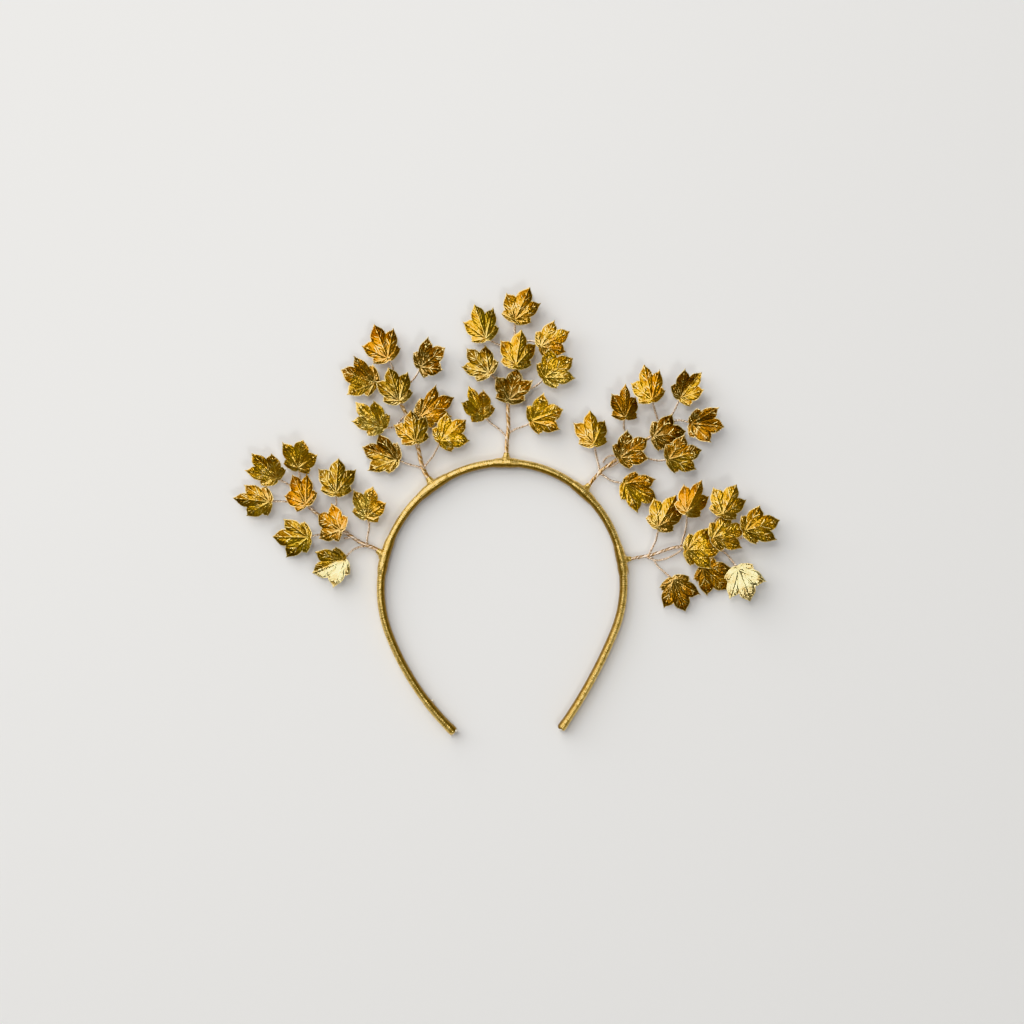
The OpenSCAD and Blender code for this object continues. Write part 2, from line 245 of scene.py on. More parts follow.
def add_node(
    tree: bpy.types.NodeTree,
    kind: str,
    inputs: dict[int | str, object] | tuple[object, ...] = (),
    **settings: object,
) -> Node:
    """Add a node with its settings, and link or set its inputs.

    Args:
        tree: The node tree.
        kind: The node's type, without "ShaderNode".
        inputs: What each socket gets, in order or by name or number: a plain value, a socket to link from, or a
            node to link the first output of.
        settings: The node's own properties.

    Returns:
        The new node.
    """
    node = tree.nodes.new(f"ShaderNode{kind}")
    for key, value in settings.items():
        setattr(node, key, value)
    for key, value in inputs.items() if isinstance(inputs, dict) else enumerate(inputs):
        source = value.outputs[0] if isinstance(value, bpy.types.Node) else value
        if isinstance(source, bpy.types.NodeSocket):
            tree.links.new(source, node.inputs[key])
        else:
            node.inputs[key].default_value = source
    return node


def new_material(name: str) -> tuple[bpy.types.Material, Adder]:
    """Make an empty material.

    Args:
        name: The real material and how its surface was made.

    Returns:
        The material, and the function that adds a node to it.
    """
    material = bpy.data.materials.new(name)
    material.use_nodes = True
    material.node_tree.nodes.clear()
    return material, partial(add_node, material.node_tree)


@dataclass(frozen=True)
class StampedLacquerLeaf:
    """Thin sheet stamped in a die and lacquered in clear gold.

    It has mirror-like ribs, painted shade in its hollows and dark lines, painted glints on its ribs and veins, and
    a bright cut edge.
    """

    hollow: str = "#4C2C06"  # painted shade in the hollows and along the dark lines
    toned: str = "#C8B08A"  # what patches of thick lacquer let through of the colour
    rim: str = "#F2DCA0"  # bare metal along the cut, dulled by the shears
    wear_and_glint: str = "#FCE6A2"  # painted highlight: glints on the rib crests and the tops of the veins
    roughness: float = 0.25
    spread: float = 0.07  # how far patches of lacquer change the roughness
    patch: float = 2.8  # mm, the size of the patches of thick lacquer
    crinkle: float = 1.0  # mm, the size of the dents from handling
    dent_depth: float = 0.24  # mm
    rib_share: float = 0.48  # the ribs' height over the dents'
    rib_period: float = 2.1  # mm along a vein from one side rib to the next
    rib_angle: float = 34.0  # degrees between a side rib and its vein
    rib_line: float = 0.2  # mm, half the breadth of the dark line between two side ribs
    rib_sway: float = 2.2  # mm that the slow noise bends the ribs by
    fleck: float = 2.6  # mm along a side rib that catches the light as one fleck
    vein_side: float = 0.52  # mm from a vein's middle to the dark line along it
    vein_line: float = 0.24  # mm, half the breadth of that line

    def material(self) -> bpy.types.Material:
        """Build the finish from the leaf's UV maps and attributes.

        Returns:
            The material.
        """
        material, add = new_material("stamped_gold_lacquered_sheet")
        tone = add("Attribute", attribute_name="tone").outputs["Color"]
        edge, hollow = (add("Attribute", attribute_name=name).outputs["Fac"] for name in ("edge", "hollow"))
        sheet = add("UVMap", uv_map="sheet")
        patches = add("TexNoise", {"Vector": sheet, "Scale": UV_MM / self.patch, "Detail": 3.0})
        dents = add("TexNoise", {"Vector": sheet, "Scale": UV_MM / self.crinkle, "Detail": 2.0})
        lines, ridge, bright, top = self.ribs(add, sheet, patches)
        # Nothing is drawn on the cut edge, and dents break the lines and the tops of the veins up
        inside = add("MapRange", (edge, 0.3, 1.0, 0.0, 1.0), **SMOOTH)
        lines, bright, top = (add("Math", (v, inside), operation="MULTIPLY") for v in (lines, bright, top))
        broken = add("MapRange", (dents, 0.4, 0.56, 0.25, 1.0))
        lines, top = (add("Math", (v, broken), operation="MULTIPLY") for v in (lines, top))
        thick = add("MapRange", (patches, 0.45, 0.64, 0.0, 0.9), **SMOOTH)
        # Painted shade: the dark lines along the ribs and beside the veins, and the die's hollows
        painted_shade = add("Math", (lines, 0.62, hollow), operation="MULTIPLY_ADD")
        painted_shade = add("Math", (painted_shade, 0.85), operation="MINIMUM")
        # Pale tones, known by their green, get less painted shade and fewer patches of thick lacquer
        green = add("SeparateColor", (tone,)).outputs[1]
        less_on_pale = add("MapRange", (green, 0.66, 0.88, 1.0, 0.35))
        painted_shade, thick = (add("Math", (v, less_on_pale), operation="MULTIPLY") for v in (painted_shade, thick))
        # Painted highlight: glints on the rib crests and the tops of the veins
        painted_highlight = add("Math", (bright, top), operation="MAXIMUM")
        rim = add("MapRange", (edge, 0.16, 0.5, 0.9, 0.0), **SMOOTH)
        colour = tone
        layers = (
            (thick, self.toned, "MULTIPLY"),
            (painted_highlight, self.wear_and_glint, "MIX"),
            (painted_shade, self.hollow, "MIX"),
            (rim, self.rim, "MIX"),
        )
        for share, layer, blend in layers:
            inputs = {0: share, MIX_A: colour, MIX_B: linear(layer)}
            colour = add("Mix", inputs, data_type="RGBA", blend_type=blend).outputs[MIX_OUT]
        low, high = self.roughness - self.spread, self.roughness + self.spread
        rough = add("MapRange", (patches, 0.35, 0.65, low, high))
        rough = add("Math", (rim, 0.2, rough), operation="MULTIPLY_ADD")
        relief = add("Math", (ridge, self.rib_share, dents), operation="MULTIPLY_ADD")
        bump = add("Bump", {"Strength": 0.9, "Distance": self.dent_depth * MM, "Height": relief})
        inputs = {"Base Color": colour, "Metallic": 1.0, "Roughness": rough, "Normal": bump}
        add("OutputMaterial", (add("BsdfPrincipled", inputs),))
        return material

    def ribs(self, add: Adder, sheet: Node, patches: Node) -> tuple[Node, Node, Node, Node]:
        """Draw the veins and their side ribs from the UV map "veins".

        A side rib's foot lies at the distance along the vein less the distance across it over the tangent of the
        ribs' angle. The foot over the ribs' period, folded to between 0 at a gap and 0.5 on a crest, gives lines
        and crests. Cells one period broad and one fleck long along the ribs give each stretch a chance of its
        own. They move on with the sheet, so that no two leaves have the same.

        Args:
            add: The function that adds a node to the material.
            sheet: Place in the flat sheet.
            patches: Slow noise that bends the ribs.

        Returns:
            Dark lines of painted shade, the height of the ribs, bright flecks of painted glint and the painted
            highlight on the tops of the veins, each from 0 to 1.
        """
        parts = add("SeparateXYZ", (add("UVMap", uv_map="veins"),))
        along, across = parts.outputs[0], parts.outputs[1]
        angle = math.radians(self.rib_angle)
        lean = add("Math", (across, -1 / math.tan(angle), along), operation="MULTIPLY_ADD")
        bent = add("Math", (patches, self.rib_sway / UV_MM, lean), operation="MULTIPLY_ADD")
        feet = add("Math", (bent, UV_MM / self.rib_period), operation="MULTIPLY")
        fold = add("Math", (feet, 0.5), operation="PINGPONG")
        half_line = self.rib_line / (self.rib_period * math.sin(angle))
        stroke = add("MapRange", (fold, 0.3 * half_line, 1.3 * half_line, 0.75, 0.0), **SMOOTH)
        beyond = add("MapRange", (across, 0.5 / UV_MM, 0.9 / UV_MM, 0.0, 1.0), **SMOOTH)
        stroke = add("Math", (stroke, beyond), operation="MULTIPLY")
        off_vein = add("Math", (across, self.vein_side / UV_MM), operation="SUBTRACT")
        off_vein = add("Math", (off_vein,), operation="ABSOLUTE")
        line = add("MapRange", (off_vein, 0.0, self.vein_line / UV_MM, 0.9, 0.0), **SMOOTH)
        lines = add("Math", (stroke, line), operation="MAXIMUM")
        crest = add("MapRange", (fold, 0.08, 0.5, 0.0, 1.0), **SMOOTH)
        far = add("Math", (across, UV_MM / self.fleck), operation="MULTIPLY")
        cell = add("VectorMath", (sheet, (11, 7, 0), add("CombineXYZ", (feet, far))), operation="MULTIPLY_ADD")
        flecks = add("TexVoronoi", {"Vector": cell, "Scale": 1.0, "Randomness": 0.8})
        chance = add("SeparateColor", (flecks.outputs["Color"],))
        bright = add("Math", (add("MapRange", (chance, 0.56, 0.86, 0.0, 0.8)), crest), operation="MULTIPLY")
        ridge = add("Math", (add("MapRange", (chance, 0.0, 1.0, 0.2, 1.2)), crest), operation="MULTIPLY")
        ridge = add("Math", (ridge, beyond), operation="MULTIPLY")
        top = add("MapRange", (across, 0.08 / UV_MM, 0.34 / UV_MM, 0.2, 0.0), **SMOOTH)
        return lines, ridge, bright, top


@dataclass(frozen=True)
class LameRibbon:
    """Narrow woven lame ribbon: flat metal threads over a silky ground, so it glints in fine cross lines."""

    thread: str = "#FFE192"
    ground: str = "#A47A28"
    edge_shade: str = "#6E4C12"  # the shade under a ribbon's edge
    head_side_shade: str = "#6A4714"  # painted shade on the head's side of the strip
    sheen: str = "#EAD4A0"
    turn: float = 3.3  # mm of the strip to one turn of ribbon, by which noises stretch the map to keep their size
    threads: float = 4.0  # across a ribbon, about half as many as the weave has so that they show
    thread_share: float = 0.14  # the threads' height over the grain's
    wobble: float = 1.6  # mm, the size of the waves in the threads
    grain: float = 0.5  # mm, the size of the glints
    mottle: float = 2.2  # mm, the size of the patches where the threads bunch

    def material(self) -> bpy.types.Material:
        """Build the finish from the UV map "ribbon": turns of ribbon laid, and the distance round the strip.

        Returns:
            The material.
        """
        material, add = new_material("woven_gold_lame_ribbon")
        uv = add("UVMap", uv_map="ribbon")
        even = add("VectorMath", (uv, (self.turn, 1.0, 1.0)), operation="MULTIPLY")
        parts = add("SeparateXYZ", (uv,))
        turns = add("Math", (parts, UV_MM), operation="MULTIPLY")
        wobble = add("TexNoise", {"Vector": even, "Scale": UV_MM / self.wobble, "Detail": 1.0})
        bent = add("Math", (wobble, 0.3, turns), operation="MULTIPLY_ADD")
        phase = add("Math", (bent, 2 * math.pi * self.threads), operation="MULTIPLY")
        weft = add("Math", (phase,), operation="SINE")
        grain = add("TexNoise", {"Vector": even, "Scale": UV_MM / self.grain, "Detail": 2.0, "Roughness": 0.6})
        patches = add("TexNoise", {"Vector": even, "Scale": UV_MM / self.mottle, "Detail": 1.0})
        height = add("Math", (weft, self.thread_share, grain), operation="MULTIPLY_ADD")
        mixed = add("Math", (patches, 0.6, height), operation="MULTIPLY_ADD")
        share = add("MapRange", (mixed, 0.48, 1.0, 0.0, 1.0), **SMOOTH)
        # The shade lies where the turns laid are a whole number
        lap = add("Math", (turns, 0.5), operation="PINGPONG")
        lap = add("MapRange", (lap, 0.01, 0.07, 0.6, 0.0), **SMOOTH)
        # The head's side lies half way round, and there the colour takes painted shade
        middle = GIRTH / 2 / UV_MM
        inner = add("Math", (parts.outputs[1], middle), operation="SUBTRACT")
        inner = add("Math", (inner,), operation="ABSOLUTE")
        inner = add("MapRange", (inner, 0.34 * middle, 0.6 * middle, 0.74, 0.0), **SMOOTH)
        colour = linear(self.ground)
        for part, layer in ((share, self.thread), (inner, self.head_side_shade), (lap, self.edge_shade)):
            inputs = {0: part, MIX_A: colour, MIX_B: linear(layer)}
            colour = add("Mix", inputs, data_type="RGBA").outputs[MIX_OUT]
        inputs = {
            "Base Color": colour,
            "Metallic": 0.9,
            "Roughness": add("MapRange", (grain, 0.3, 0.7, 0.36, 0.2)),
            "Normal": add("Bump", {"Strength": 0.7, "Distance": 0.1 * MM, "Height": height}),
            "Sheen Weight": 0.2,
            "Sheen Roughness": 0.4,
            "Sheen Tint": linear(self.sheen),
        }
        add("OutputMaterial", (add("BsdfPrincipled", inputs),))
        return material


@dataclass(frozen=True)
class DrawnBrassWire:
    """Soft drawn brass wire, pale and a little pink where wear has left it bright, orange-brown where it isn't."""

    bright: str = "#F8E6D0"
    dull: str = "#CDA676"
    gilt: str = "#FFF6DA"  # what the gold thread lets through of the colour
    strand_shade: str = "#5E4020"  # painted shade between the strands, deepest in the bundle
    patch: float = 1.5  # mm, the length of the duller patches

    def material(self) -> bpy.types.Material:
        """Build the finish from object coordinates and the UV map.

        The map holds a strand's tone, 0 if dull or 1 if bright and 2 more if gilt, and how far out in the bundle
        a point lies, from 0 to 1.

        Returns:
            The material.
        """
        material, add = new_material("drawn_pale_brass_wire")
        where = add("TexCoord").outputs["Object"]
        patches = add("TexNoise", {"Vector": where, "Scale": 1 / (self.patch * MM), "Detail": 2.0})
        parts = add("SeparateXYZ", (add("UVMap", uv_map="ribbon"),))
        strand, out = parts.outputs[0], parts.outputs[1]
        gilt = add("Math", (strand, 1.5 / UV_MM), operation="GREATER_THAN")
        plain = add("Math", (gilt, -2 / UV_MM, strand), operation="MULTIPLY_ADD")
        wear_and_glint = add("MapRange", (patches, 0.35, 0.65, -0.1, 0.5))
        wear_and_glint = add("Math", (plain, 0.6 * UV_MM, wear_and_glint), operation="MULTIPLY_ADD")
        # Painted shade deep in the bundle, between the strands
        deep = add("MapRange", (out, 0.45 / UV_MM, 0.85 / UV_MM, 0.85, 0.0), **SMOOTH)
        colour = linear(self.dull)
        layers = ((wear_and_glint, self.bright, "MIX"), (gilt, self.gilt, "MULTIPLY"), (deep, self.strand_shade, "MIX"))
        for share, layer, blend in layers:
            inputs = {0: share, MIX_A: colour, MIX_B: linear(layer)}
            colour = add("Mix", inputs, data_type="RGBA", blend_type=blend).outputs[MIX_OUT]
        rough = add("MapRange", (patches, 0.3, 0.7, 0.42, 0.28))
        shader = add("BsdfPrincipled", {"Base Color": colour, "Metallic": 1.0, "Roughness": rough})
        add("OutputMaterial", (shader,))
        return material


@dataclass(frozen=True)
class DriedGlue:
    """Clear hot-melt glue, milky where it dried."""

    colour: str = "#EFE6D2"
    cloud: float = 0.8  # mm, the size of the milky patches

    def material(self) -> bpy.types.Material:
        """Build the finish, cloudy in object coordinates.

        Returns:
            The material.
        """
        material, add = new_material("dried_clear_glue")
        where = add("TexCoord").outputs["Object"]
        cloud = add("TexNoise", {"Vector": where, "Scale": 1 / (self.cloud * MM), "Detail": 2.0})
        inputs = {
            "Base Color": linear(self.colour),
            "Transmission Weight": 0.12,
            "IOR": 1.49,
            "Roughness": add("MapRange", (cloud, 0.3, 0.7, 0.25, 0.5)),
            "Normal": add("Bump", {"Strength": 0.4, "Distance": 0.1 * MM, "Height": cloud}),
        }
        add("OutputMaterial", (add("BsdfPrincipled", inputs),))
        return material


@dataclass(frozen=True)
class SmoothPaper:
    """Pale matt paper for the floor."""

    colour: str = "#F1EFEB"

    def material(self) -> bpy.types.Material:
        """Build the plain finish.

        Returns:
            The material.
        """
        material, add = new_material("pale_matt_paper")
        add("OutputMaterial", (add("BsdfPrincipled", {"Base Color": linear(self.colour), "Roughness": 0.8}),))
        return material


@dataclass(frozen=True)
class Leaf:
    """Where one stamped leaf sits and how it is bent, nearly as the solid of the same number."""

    x: float  # the veins' origin
    y: float
    heading: float  # of the centre lobe
    centre: float  # reach of the centre lobe
    left_turn: float  # from the centre lobe to the left one
    left: float  # reach of the left lobe
    right_turn: float
    right: float
    lift: float  # height of the veins' origin
    rise: float  # slope toward the centre lobe
    roll: float  # slope toward the left
    fold: float  # slope of both halves away from the centre vein
    # Tones of the two halves, partly the lacquer's own and partly painted light: lit or shaded as each half faced
    # the lamps
    left_tone_and_light: Tone
    right_tone_and_light: Tone


F, P, A, Y, G = Tone.FLASH, Tone.PALE, Tone.AMBER, Tone.YELLOW, Tone.GREEN
O, D, R, B, K = Tone.OLIVE, Tone.GOLD, Tone.ORANGE, Tone.BROWN, Tone.DARK

# Columns as the fields of Leaf
LEAVES: dict[str, list[Leaf]] = {
    "left": [
        Leaf(-119.5, 16.5, 134, 18.5, 31, 17, 34, 13.5, 8, 10, -6, 18, Y, D),
        Leaf(-108, 22, 79, 15, 42, 16, 45, 12.5, 8.2, 21, -6, 4, Y, D),
        Leaf(-123, 4.5, 174, 19.5, 37, 14.5, 27, 16.5, 11, -5, 0, -18, Y, D),
        Leaf(-104, 3.5, 116, 17, 44, 12.5, 26, 16, 11, -14, 0, -12, R, R),
        Leaf(-88.5, 9, 86, 18.5, 40, 16, 36, 16.5, 10.5, -8, 0, -10, O, O),
        Leaf(-103, -14, 179, 19, 43, 16, 35, 16.5, 9, -8, 0, -6, G, O),
        Leaf(-86, -10, 146, 14.5, 56, 12.5, 36, 15, 12, -16, 0, -4, B, R),
        Leaf(-72.5, -3.5, 78, 16.5, 37, 16, 42, 13, 8.5, 13, -8, 10, P, A),
        Leaf(-84.5, -26, 202, 18, 47, 15.5, 38, 16, 6.5, 0, 0, 12, F, O),
    ],
    "upper_left": [
        Leaf(-61.5, 79, 112, 19.5, 42, 15.5, 32, 16.5, 11.5, -8, 0, -16, R, R),
        Leaf(-68.5, 66.5, 159, 19, 45, 16, 31, 18, 7, 4, 4, 10, O, B),
        Leaf(-44.5, 74.5, 37, 16.5, 38, 16.5, 45, 12, 9, 20, -10, 6, K, K),
        Leaf(-55.5, 57, 108, 18.5, 33, 16.5, 34, 16, 12.5, -4, 0, -12, O, O),
        Leaf(-64.5, 43, 136, 19.5, 32, 16.5, 29, 15, 8, 5, -4, 20, P, Y),
        Leaf(-45, 48.5, 30, 21, 33, 19.5, 28, 17, 7, -2, 4, 2, B, R),
        Leaf(-47, 36, 99, 16.5, 44, 14.5, 30, 14.5, 12.5, -6, 0, -8, D, O),
        Leaf(-34, 36, 40, 17.5, 38, 15.5, 39, 15.5, 10, 2, 0, -6, Y, Y),
        Leaf(-57, 26.5, 160, 19.5, 41, 16.5, 34, 17, 7.5, -4, 0, 8, O, K),
    ],
    "top": [
        Leaf(4.5, 99, 65, 19, 42, 15, 32, 16.5, 10, 5, 0, -10, D, D),
        Leaf(-10.5, 89.5, 109, 19, 35, 15, 32, 17, 11, -8, 0, -16, Y, G),
        Leaf(-9, 71.5, 132, 17.5, 35, 15, 34, 15, 12, -18, 0, -10, O, O),
        Leaf(5, 75, 81, 19.5, 39, 16, 33, 16, 11.5, -4, 0, -10, Y, O),
        Leaf(18, 85, 27, 17, 35, 15.5, 39, 13.5, 14.5, 8, 4, -8, Y, R),
        Leaf(20, 69, 34, 18, 46, 16, 35, 16.5, 11, 8, 13, 2, Y, P),
        Leaf(1.5, 57.5, 75, 17, 44, 14, 36, 16.5, 7.5, 8, 0, 8, K, K),
        Leaf(-11.5, 49, 117, 18, 32, 14, 25, 14, 7.5, 6, 0, 26, Y, D),
        Leaf(13.5, 46.5, 20, 17.5, 47, 16, 37, 15.5, 8, 12, 4, 6, Y, D),
    ],
    "upper_right": [
        Leaf(45.5, 34.5, 96, 18, 37, 15.5, 31, 14, 12, -14, 0, -16, D, Y),
        Leaf(62, 48.5, 90, 17.5, 30, 14.5, 26, 12, 11.5, 4, 0, -24, B, B),
        Leaf(75.5, 57.5, 102, 19, 39, 14, 27, 16.5, 14, -10, 0, -10, Y, R),
        Leaf(90.5, 58.5, 50, 17.5, 31, 15.5, 31, 13, 8.5, 12, -4, 20, K, Y),
        Leaf(59.5, 27.5, 35, 17.5, 41, 15, 37, 15, 9, 8, 0, 4, K, B),
        Leaf(77, 38.5, 9, 17, 41, 15.5, 37, 15.5, 8, 2, 0, 2, K, K),
        Leaf(84.5, 26.5, 16, 18, 41, 15.5, 36, 15.5, 11.5, 6, 6, 2, B, O),
        Leaf(96.5, 45, -6, 17, 37, 16.5, 39, 14, 9, 16, 0, 14, K, B),
        Leaf(62, 14, -28, 19, 36, 16.5, 39, 17, 7, -4, 0, 10, B, Y),
    ],
    "right": [
        Leaf(79, -8.5, 60, 19.5, 38, 15.5, 30, 16, 11, -4, 0, -14, Y, B),
        Leaf(93.5, -1, 64, 19, 30, 15, 29, 15, 13.3, -5, 0, -22, R, D),
        Leaf(112, -2, 64, 17.5, 44, 15, 33, 15, 15, -4, 0, -10, Y, D),
        Leaf(94, -20.5, 2, 18.5, 43, 17, 40, 16.5, 8.5, 0, 0, 0, Y, Y),
        Leaf(107.5, -14, 18, 18, 37, 15.5, 38, 16.5, 11, -3, -2, 0, Y, D),
        Leaf(124, -10.5, 17, 19, 43, 15.5, 33, 17.5, 13, 3, 0, 4, D, O),
        Leaf(102.5, -30, -41, 17.5, 40, 15.5, 40, 15, 6, -5, 0, 4, B, B),
        Leaf(120.5, -30.5, -70, 18, 46, 16, 36, 16.5, 9, 14, 2, 4, F, F),
        Leaf(87, -36, -69, 18, 40, 16.5, 39, 16, 9, -6, 0, -4, B, B),
    ],
}


@dataclass(frozen=True)
class Die:
    """The die that cuts and embosses every leaf, in polar form round the veins' origin.

    A vein runs up the middle of the centre, side and small lobes of each half. Sectors meet at the notches.
    """

    vein_turns: tuple[float, float, float] = (0.0, 36.0, 78.0)
    vein_reaches: tuple[float, float, float] = (19.2, 15.9, 8.4)
    notch_turns: tuple[float, float] = (19.0, 61.0)
    # Columns: turn and reach of a corner, bulge of the flank that leads to it, faces along that flank
    corners: tuple[tuple[float, float, float, int], ...] = (
        (0, 19.2, 0, 0),
        (19, 12.7, 0.75, 20),
        (36, 15.9, -0.15, 13),
        (61, 7.8, 0.95, 22),
        (78, 8.4, 0.05, 6),
        (108, 4.3, 0.4, 11),
        (180, 1.6, 0.6, 8),
    )
    tip_hollow: float = 0.3  # how far a flank is drawn in beside a tip
    tip_flanks: int = 4  # the flanks from the centre tip on that are
    serration: float = 0.08  # half the depth of the fine teeth, one to two columns
    jag: float = 0.26  # depth of the coarse teeth
    jag_columns: int = 5
    vein_rise: float = 0.17
    vein_width: float = 0.42
    groove_depth: float = 0.12
    groove_place: float = 0.95  # from the vein's middle
    groove_width: float = 0.36
    boss_share: float = 0.76  # of the vein's reach
    boss_radius: float = 0.75
    boss_rise: float = 0.22
    ring_width: float = 0.32
    pillow_rise: float = 0.24
    pillow_slope: float = 2.6  # breadth of a pillow's slope to a notch
    valley_depth: float = 0.12
    valley_width: float = 0.4
    rim_drop: float = 0.26
    burr: float = 0.1  # height of the burr along the cut
    sheet: float = 0.15  # thickness at the edge
    core: float = 0.34  # thickness inside

    def outline(self) -> tuple[Array, Array, Array]:
        """Work out the cut edge, once round from the base.

        Each flank is the chord between two corners, moved outward by its bulge times the sine of pi times the
        share of its length, and moved inward beside the tips by their hollow times the sine of twice that.

        Returns:
            Turn and reach of each point, and the sine of the angle between the edge and the ray to the origin.
        """
        half = [np.array([self.corners[0][:2]])]
        for number, (row, after) in enumerate(zip(self.corners, self.corners[1:])):
            (turn_a, reach_a, _, _), (turn_b, reach_b, bulge, count) = row, after
            share = np.arange(1, count + 1)[:, None] / count
            # Tips and notches take turns, and the base has neither
            hollow = (self.tip_hollow, -self.tip_hollow)[number % 2] if number < self.tip_flanks else 0.0
            start, end = reach_a * compass(turn_a), reach_b * compass(turn_b)
            outward = np.array([end[1] - start[1], start[0] - end[0]]) / np.linalg.norm(end - start)
            bow = bulge * np.sin(np.pi * share) - hollow * np.sin(2 * np.pi * share)
            flank = start + share * (end - start) + bow * outward
            turns = np.degrees(np.arctan2(np.abs(flank[:, 1]), flank[:, 0]))
            half.append(np.column_stack((turns, np.linalg.norm(flank, axis=1))))
        left = np.concatenate(half)
        right = left[1:-1] * [-1, 1]
        turn, reach = np.concatenate((left[-1:] * [-1, 1], right[::-1], left[:-1])).T
        edge = reach[:, None] * compass(turn)
        along, ray = unit(np.roll(edge, -1, axis=0) - np.roll(edge, 1, axis=0)), unit(edge)
        return turn, reach, np.abs(ray[:, 0] * along[:, 1] - ray[:, 1] * along[:, 0])

    def lobes(self, turn: Array) -> Faces:
        """Number the lobe that each turn lies in: 0 for the centre, 1 at its sides and 2 at the base."""
        return np.searchsorted(self.notch_turns, np.abs(turn))

    def vein_turn(self, turn: Array) -> Array:
        """Find the turn of the vein in each turn's lobe."""
        return np.array(self.vein_turns)[self.lobes(turn)] * np.sign(turn)

    def along_vein(self, turn: Array, reach: Array) -> tuple[Array, Array, Array]:
        """Measure points from the vein of their lobe.

        Args:
            turn: Turns from the centre lobe.
            reach: Distances from the veins' origin.

        Returns:
            Distances along the vein and across it, and the vein's reach.
        """
        swing = np.radians(turn - self.vein_turn(turn))
        return reach * np.cos(swing), reach * np.sin(swing), np.array(self.vein_reaches)[self.lobes(turn)]

    def boss_distance(self, along: Array, across: Array, vein_reach: Array) -> Array:
        """Measure from the middle of a lobe's boss, a quarter more across the vein than along it."""
        return np.hypot(along - self.boss_share * vein_reach, 1.25 * across)

    def relief(self, turn: Array, reach: Array, edge: Array) -> tuple[Array, Array]:
        """Work out how far the face stands above the plain sheet.

        The height is a bell over each vein with a groove on both sides, a domed boss in a ring near the tip of
        each long lobe, a pillow between vein and notch, a valley from the origin to each notch, and a drop at
        the cut edge. The side ribs are too fine for the grid and stand in the finish.

        Args:
            turn: Turns from the centre lobe.
            reach: Distances from the veins' origin.
            edge: Distances from the cut edge.

        Returns:
            Heights in millimetres, and how far from 0 to 1 a point lies in a hollow, its share of painted shade.
        """
        along, across, vein_reach = self.along_vein(turn, reach)
        boss = self.boss_distance(along, across, vein_reach)
        across = np.abs(across)
        clear = smoothstep(self.boss_radius, 1.8 * self.boss_radius, boss)
        taper = np.sqrt(np.clip(1 - along / vein_reach, 0, 1)) * smoothstep(-0.5, 0.5, along)
        to_notches = [reach * np.abs(np.sin(np.radians(np.abs(turn) - n))) for n in self.notch_turns]
        notch = np.min(to_notches, axis=0)
        veins = self.vein_rise * taper * bell(across, self.vein_width) * clear
        groove = taper * bell(across - self.groove_place, self.groove_width) * clear
        long_lobe = self.lobes(turn) < 2
        ring = long_lobe * bell(boss - 1.45 * self.boss_radius, self.ring_width)
        bosses = self.boss_rise * (long_lobe * bell(boss, 0.8 * self.boss_radius) - 0.6 * ring)
        between = smoothstep(0.0, self.pillow_slope, notch) * smoothstep(0, 2.4, edge)
        pillows = self.pillow_rise * np.sqrt(between)
        valley = bell(notch, self.valley_width) * smoothstep(1.5, 4, reach) * smoothstep(0, 1, edge)
        rim = -self.rim_drop * bell(edge, 0.9) + self.burr * bell(edge - 0.12, 0.2)
        height = veins - self.groove_depth * groove + bosses + pillows - self.valley_depth * valley + rim
        # The hollow share is painted shade: grooves, the ring round each boss, the valleys and a band inside the
        # cut edge
        border = bell(edge - 0.8, 0.26)
        hollow = np.clip(0.2 * groove + 0.65 * ring + 0.3 * valley + 0.3 * border, 0, 1)
        return height - 0.5 * self.pillow_rise, hollow


